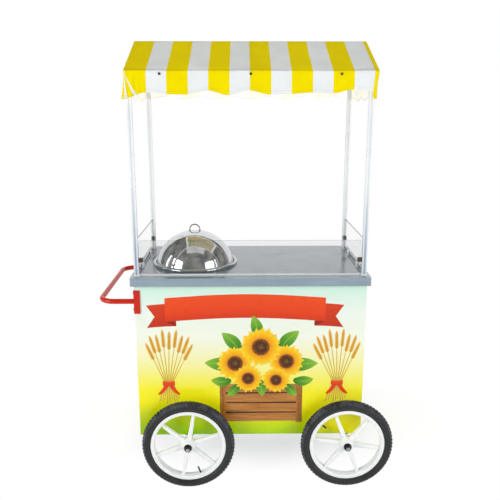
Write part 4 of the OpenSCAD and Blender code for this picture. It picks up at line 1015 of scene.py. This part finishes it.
def printFlowers():
    p = poster
    leaves, petals, seeds = startPrint(), startPrint(), startPrint()
    for i, (x, z, angle, length, width, bend) in enumerate(p["leaves"]):
        plate(leaves, 6, 12, 10 + i, blade(x, z, math.radians(angle), length, width, bend, *p["leafForm"]))
    for i, (x, z, radius, turn) in enumerate(p["flowers"]):
        level = 22 + 6 * i
        core = radius * p["seedShare"]
        start = core * p["petalStart"]
        for ring in (0, 1):
            for k in range(p["petals"]):
                angle = math.radians(turn) + 2 * pi * (k + 0.5 * ring) / p["petals"]
                reach = radius * (1.0 - 0.1 * ring) * random.uniform(0.95, 1.04)
                shape = blade(*onward(x, z, start, angle), angle, reach - start, radius * p["petalWide"],
                              random.uniform(-p["petalBend"], p["petalBend"]), *p["petalForm"])
                last = 0.5 if k == p["petals"] - 1 else 0
                plate(petals, 2, 6, level + 2 * ring + k % 2 + last, shape)
        disc(seeds, x, z, core, level + 5, 48)
    placePrint(leaves, "flowerLeaves", "leafInk")
    placePrint(petals, "flowerPetals", "petalInk")
    placePrint(seeds, "flowerSeeds", "seedInk")


def printWheat():
    p = poster
    stalks, ears, ties = startPrint(), startPrint(), startPrint()
    longest, widest = p["kernel"]
    tieWide, tieTall = p["tie"]
    for x, z, lean in p["sheaves"]:
        for i in range(p["stalks"]):
            share = i / (p["stalks"] - 1) - 0.5
            angle = math.radians(90 - lean + 2 * p["fan"] * share)
            foot = x - share * p["waist"]
            length = p["stalkLength"] * (1 + p["stalkSwell"] * math.cos(pi * share))
            length += p["stalkStagger"] * (i % 2)
            lower = math.radians(270 + lean - p["stubFan"] * share)
            level = 2 + 0.3 * i
            plate(stalks, 1, 6, level, stick(foot, z, length, angle, p["stalkWide"]))
            stub = p["stubLength"] + p["stubStagger"] * (i % 3)
            plate(stalks, 1, 6, level, stick(foot, z, stub, lower, p["stubWide"]))
            tip = onward(foot, z, length, angle)
            level = 6 + 0.9 * i
            for k in range(p["earPairs"]):
                for side in (-1, 1):
                    kernel = blade(*onward(*tip, p["earStep"] * k, angle), angle + side * p["kernelSplay"],
                                   longest - p["kernelShrink"] * k, widest, -p["kernelBend"] * side,
                                   *p["kernelForm"])
                    plate(ears, 2, 3, level + 0.05 * k + (0.02 if side > 0 else 0), kernel)
            top = onward(*tip, p["earStep"] * p["earPairs"], angle)
            plate(ears, 2, 3, level + 0.5, blade(*top, angle, *p["tipKernel"], 0.0, *p["kernelForm"]))

        def tie(u, t):
            bow = p["tieBow"] * math.cos(pi * (u - 0.5))
            return x + (u - 0.5) * tieWide, z - p["tieLow"] + (t - 0.5) * tieTall - bow

        plate(ties, 8, 2, 18, tie)
        for side in (-1, 1):
            way = math.radians(270 + p["tieSplay"] * side)
            end = blade(x + p["knot"] * side, z - p["knot"], way, *p["tieEnd"],
                        p["tieBend"] * side, *p["tieForm"])
            plate(ties, 2, 6, 16, end)
    placePrint(stalks, "wheatStalks", "strawInk")
    placePrint(ears, "wheatEars", "wheatInk")
    placePrint(ties, "wheatTies", "ribbonInk")


# printed colours along each shape, from its base to its tip, and the streaks' size
inks = {
    "ribbonInk": ([(0.0, (212, 54, 12)), (0.35, (230, 66, 16)), (1.0, (236, 78, 24))], (3, 6), 0.12),
    "ribbonTailInk": ([(0.0, (192, 44, 10)), (1.0, (216, 60, 18))], (3, 6), 0.12),
    "ribbonFoldInk": ([(0.0, (132, 26, 6)), (1.0, (152, 34, 8))], (3, 6), 0.12),
    "petalInk": ([(0.0, (222, 120, 0)), (0.3, (244, 168, 4)), (0.75, (252, 202, 16)), (1.0, (253, 222, 74))],
                 (9, 1.2), 0.3),
    "leafInk": ([(0.0, (44, 112, 22)), (0.5, (82, 152, 34)), (1.0, (140, 190, 58))], (14, 5), 0.3),
    "strawInk": ([(0.0, (196, 150, 52)), (1.0, (226, 190, 96))], (6, 2), 0.4),
    "wheatInk": ([(0.0, (190, 124, 24)), (0.4, (228, 172, 52)), (1.0, (246, 212, 112))], (7, 2), 0.3),
}
seedStops = [(0.1, (134, 92, 22)), (0.38, (92, 52, 14)), (0.62, (60, 30, 8)), (0.88, (112, 60, 12)),
             (1.0, (150, 84, 12))]


def makeInk(name, stops, grain, amount):
    tree, bsdf = startMat(name)
    uv = uvMap(tree, "shape")
    u, v = axes(tree, uv)[:2]
    streak = cloud(tree, stretched(tree, uv, (*grain, 1)), 1.6, 3.0)
    value = plus(tree, v, times(tree, minus(tree, streak, 0.5), amount))
    if name == "leafInk":
        # a pale rib along the middle and slanted side veins
        off = apart(tree, u, 0.5)
        rib = spread(tree, off, 0.55, 0.0, 0.02, 0.06)
        slant = maths(tree, "FRACT", minus(tree, times(tree, v, 8.0), times(tree, off, 3.0)))
        vein = spread(tree, slant, 0.22, 0.0, 0.06, 0.16)
        value = plus(tree, value, larger(tree, rib, vein))
    feed(tree, bsdf, {"Base Color": tones(tree, value, painted(stops))})
    coatPrint(tree, bsdf)


def makeSeedInk():
    tree, bsdf = startMat("seedInk")
    uv = uvMap(tree, "shape")
    cells = node(tree, "TexVoronoi", {"Vector": uv, "Scale": 15.0}).outputs["Distance"]
    value = plus(tree, times(tree, distance(tree, uv, (0.5, 0.5, 0)), 2.0),
                 times(tree, minus(tree, cells, 0.4), 0.5))
    feed(tree, bsdf, {"Base Color": tones(tree, value, painted(seedStops))})
    coatPrint(tree, bsdf)


def makeWoodInk(name, light, dark, stretch):
    tree, bsdf = startMat(name)
    grain = cloud(tree, places(tree, stretch), 14.0, 5.0)
    feed(tree, bsdf, {"Base Color": shades(tree, grain, dark, light, 0.32, 0.68)})
    coatPrint(tree, bsdf)


for name, values in inks.items():
    makeInk(name, *values)
makeSeedInk()
makeWoodInk("crateInk", (206, 142, 70), (158, 96, 40), (0.5, 1, 9))
makeWoodInk("cratePostInk", (190, 126, 58), (140, 82, 32), (9, 1, 0.5))
makeWoodInk("crateShadeInk", (86, 48, 18), (60, 32, 12), (1, 1, 1))
printRibbon()
printCrate()
printFlowers()
printWheat()
print("print made")


# lid: spun dome with a rolled edge

lid = {"edgeZ": 0.9246, "skirtZ": 0.9373, "topZ": 1.079, "radius": 0.173, "wall": 0.001, "bead": 0.0022,
       "beadTurn": 1.45, "beadIn": 0.2, "beadSteps": 8, "arcSteps": 40, "turnSteps": 128}


def buildLid():
    radius, bead, edgeZ = lid["radius"], lid["bead"], lid["edgeZ"]
    rise = lid["topZ"] - lid["skirtZ"]
    ball = (radius ** 2 + rise ** 2) / (2 * rise)
    middle = lid["topZ"] - ball
    start = math.asin((lid["skirtZ"] - middle) / ball)
    points = []
    for i in range(lid["beadSteps"] + 1):  # rolled edge, from inside to outside
        a = pi + lid["beadTurn"] * pi * i / lid["beadSteps"]
        points.append((radius - bead * lid["beadIn"] + bead * math.cos(a),
                       edgeZ + bead + bead * math.sin(a)))
    points.append((radius, edgeZ + 3 * bead))
    for i in range(lid["arcSteps"] + 1):
        a = start + (pi / 2 - start) * i / lid["arcSteps"]
        points.append((ball * math.cos(a), middle + ball * math.sin(a)))
    bm = bmesh.new()
    spinProfile(bm, points, (panMiddle[0], panMiddle[1], 0), (0, 0, 1), (1, 0, 0), lid["turnSteps"])
    return bm


dome = finishPiece(buildLid(), "domeLid", "lid", "lidMirror", 60)
thicken(dome, lid["wall"])
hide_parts("lid")
print("lid made")


# push handle: one tube bent twice

handle = {"footX": -0.4733, "gripX": -0.618, "armY": 0.277, "z": 0.825, "radius": 0.011, "bend": 0.06,
          "segments": 28, "bendSteps": 16}


def buildHandle():
    h = handle
    bm = bmesh.new()
    turn = Matrix.Translation((h["footX"], -h["armY"], h["z"])) @ Matrix.Rotation(pi / 2, 4, "Y")
    made = bmesh.ops.create_circle(
        bm, cap_ends=True, segments=h["segments"], radius=h["radius"], matrix=turn)
    ring = {e for v in made["verts"] for e in v.link_edges}

    def pull(ring, by):
        made = bmesh.ops.extrude_edge_only(bm, edges=list(ring))["geom"]
        verts = {v for v in made if isinstance(v, bmesh.types.BMVert)}
        bmesh.ops.translate(bm, vec=by, verts=list(verts))
        return {e for v in verts for e in v.link_edges if e.other_vert(v) in verts}

    def bend(ring, middle):
        verts = {v for e in ring for v in e.verts}
        made = bmesh.ops.spin(bm, geom=list(verts) + list(ring), cent=middle, axis=(0, 0, 1), angle=-pi / 2,
                              steps=h["bendSteps"])
        return {e for e in made["geom_last"] if isinstance(e, bmesh.types.BMEdge)}

    arm = h["footX"] - h["gripX"] - h["bend"]
    turnX, turnY = h["gripX"] + h["bend"], h["armY"] - h["bend"]
    ring = bend(pull(ring, (-arm, 0, 0)), (turnX, -turnY, h["z"]))
    ring = bend(pull(ring, (0, 2 * turnY, 0)), (turnX, turnY, h["z"]))
    ring = pull(ring, (arm, 0, 0))
    bmesh.ops.contextual_create(bm, geom=list(ring))
    return bm


grip = finishPiece(buildHandle(), "pushHandle", "cart", "handleRed", 50)
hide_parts("push_handle")
print("handle made")


# wheels

wheel = {
    "spots": {"front_left": (-0.254, -0.348, 260), "front_right": (0.429, -0.348, 111),
              "rear_left": (-0.254, 0.348, 35), "rear_right": (0.429, 0.348, 200)},
    "axleZ": 0.2, "turnSteps": 120, "hubSteps": 64, "spokes": 6,
    "rimSection": [(.1475, -.0175), (.160, -.0175), (.161, -.0168), (.161, -.0152), (.1602, -.0145),
                   (.150, -.0135), (.150, .0135), (.1602, .0145), (.161, .0152), (.161, .0168),
                   (.160, .0175), (.1475, .0175), (.1463, .0166), (.1452, .009), (.145, 0),
                   (.1452, -.009), (.1463, -.0166)],
    "hubSection": [(.0176, -.031), (.0215, -.031), (.0232, -.0296), (.0262, -.016), (.031, -.0095),
                   (.031, .0095), (.0262, .016), (.0232, .0296), (.0215, .031), (.0176, .031)],
    "spokeRoot": (.0215, .0205), "spokeTip": (.0126, .0145), "spokeFrom": .02, "spokeTo": .1478,
    "spokeBevel": .003,
    "casingMid": .1785, "casingHigh": .0179, "casingHalf": .0229, "casingTurn": 2.24, "casingSteps": 26,
    "wallRibs": (1.42, 1.78), "ribHalf": 0.05, "ribHigh": 0.0005,  # raised lines on the walls
    "beadSection": [(.1605, .0128), (.1510, .0126), (.1510, .0090), (.162, .0092),
                    (.162, -.0092), (.1510, -.0090), (.1510, -.0126), (.1605, -.0128)],
    "blocks": 72, "blockTall": .0031, "blockTaper": 0.8, "blockLift": 0.4, "blockStretch": 1.2,
    # tread, chevrons along the middle and slanted blocks on both shoulders:
    # section angle, length, width, slant in degrees, stagger
    "tread": [(0.20, .0086, .0072, 30, 0.0), (-0.20, .0086, .0072, -30, 0.0),
              (0.62, .0084, .0076, -24, 0.5), (-0.62, .0084, .0076, 24, 0.5),
              (1.04, .0080, .0084, 10, 0.0), (-1.04, .0080, .0084, -10, 0.0)],
}


def buildRim(x, y, turn):
    w = wheel
    bm = bmesh.new()
    middle = Vector((x, y, w["axleZ"]))
    spinProfile(bm, w["rimSection"], middle, (0, 1, 0), (1, 0, 0), w["turnSteps"], True)
    spinProfile(bm, w["hubSection"], middle, (0, 1, 0), (1, 0, 0), w["hubSteps"], True)
    for i in range(w["spokes"]):
        angle = math.radians(turn) + 2 * pi * i / w["spokes"]
        made = bmesh.ops.create_cube(bm, size=1.0)
        for v in made["verts"]:
            far = v.co.x > 0
            wide, thick = w["spokeTip"] if far else w["spokeRoot"]
            v.co = Vector((w["spokeTo"] if far else w["spokeFrom"], v.co.y * thick, v.co.z * wide))
        edges = {e for v in made["verts"] for e in v.link_edges}
        rounded = bmesh.ops.bevel(bm, geom=list(edges), offset=w["spokeBevel"], segments=3, profile=0.5,
                                  affect="EDGES", material=-1)
        place = Matrix.Translation(middle) @ Matrix.Rotation(-angle, 4, "Y")
        bmesh.ops.transform(bm, matrix=place, verts=list({v for f in rounded["faces"] for v in f.verts}))
    return bm


def casingPoint(t, lift):
    # place and outward direction on the tyre's section, t is 0 at the tread's middle
    w = wheel
    spot = Vector((w["casingMid"] + w["casingHigh"] * math.cos(t), w["casingHalf"] * math.sin(t)))
    out = Vector((math.cos(t) / w["casingHigh"], math.sin(t) / w["casingHalf"])).normalized()
    return spot + out * lift, out


def buildTyre(x, y):
    w = wheel
    bm = bmesh.new()
    middle = Vector((x, y, w["axleZ"]))
    section = []
    for i in range(-w["casingSteps"], w["casingSteps"] + 1):
        t = w["casingTurn"] * i / w["casingSteps"]
        onRib = any(abs(abs(t) - rib) < w["ribHalf"] for rib in w["wallRibs"])
        section.append(tuple(casingPoint(t, w["ribHigh"] if onRib else 0.0)[0]))
    spinProfile(bm, section + w["beadSection"], middle, (0, 1, 0), (1, 0, 0), w["turnSteps"], True)
    for t, length, width, slant, stagger in w["tread"]:
        spot, out = casingPoint(t, w["blockTall"] * w["blockLift"])
        lean = Matrix.Rotation(math.radians(slant), 3, "Z")
        for i in range(w["blocks"]):
            angle = 2 * pi * (i + stagger) / w["blocks"]
            for v in bmesh.ops.create_cube(bm, size=1.0)["verts"]:
                taper = w["blockTaper"] if v.co.z > 0 else 1.0
                flat = lean @ Vector((v.co.x * length * taper, v.co.y * width * taper, 0))
                tall = v.co.z * w["blockTall"] * w["blockStretch"]
                radial = spot.x + out.x * tall - out.y * flat.x
                side = spot.y + out.y * tall + out.x * flat.x
                v.co = middle + Vector((radial * math.cos(angle) - flat.y * math.sin(angle), side,
                                        radial * math.sin(angle) + flat.y * math.cos(angle)))
    return bm


for corner, (x, y, turn) in wheel["spots"].items():
    body = corner + "_wheel"
    label = corner.replace("_", " ").title().replace(" ", "")
    rimPiece = finishPiece(buildRim(x, y, turn), "wheelRim" + label, body, "rimWhite", 40)
    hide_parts(corner + "_rim")
    tyrePiece = finishPiece(buildTyre(x, y), "tyre" + label, body, "tyreRubber", 40)
    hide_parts(corner + "_tyre")
print("wheels made")
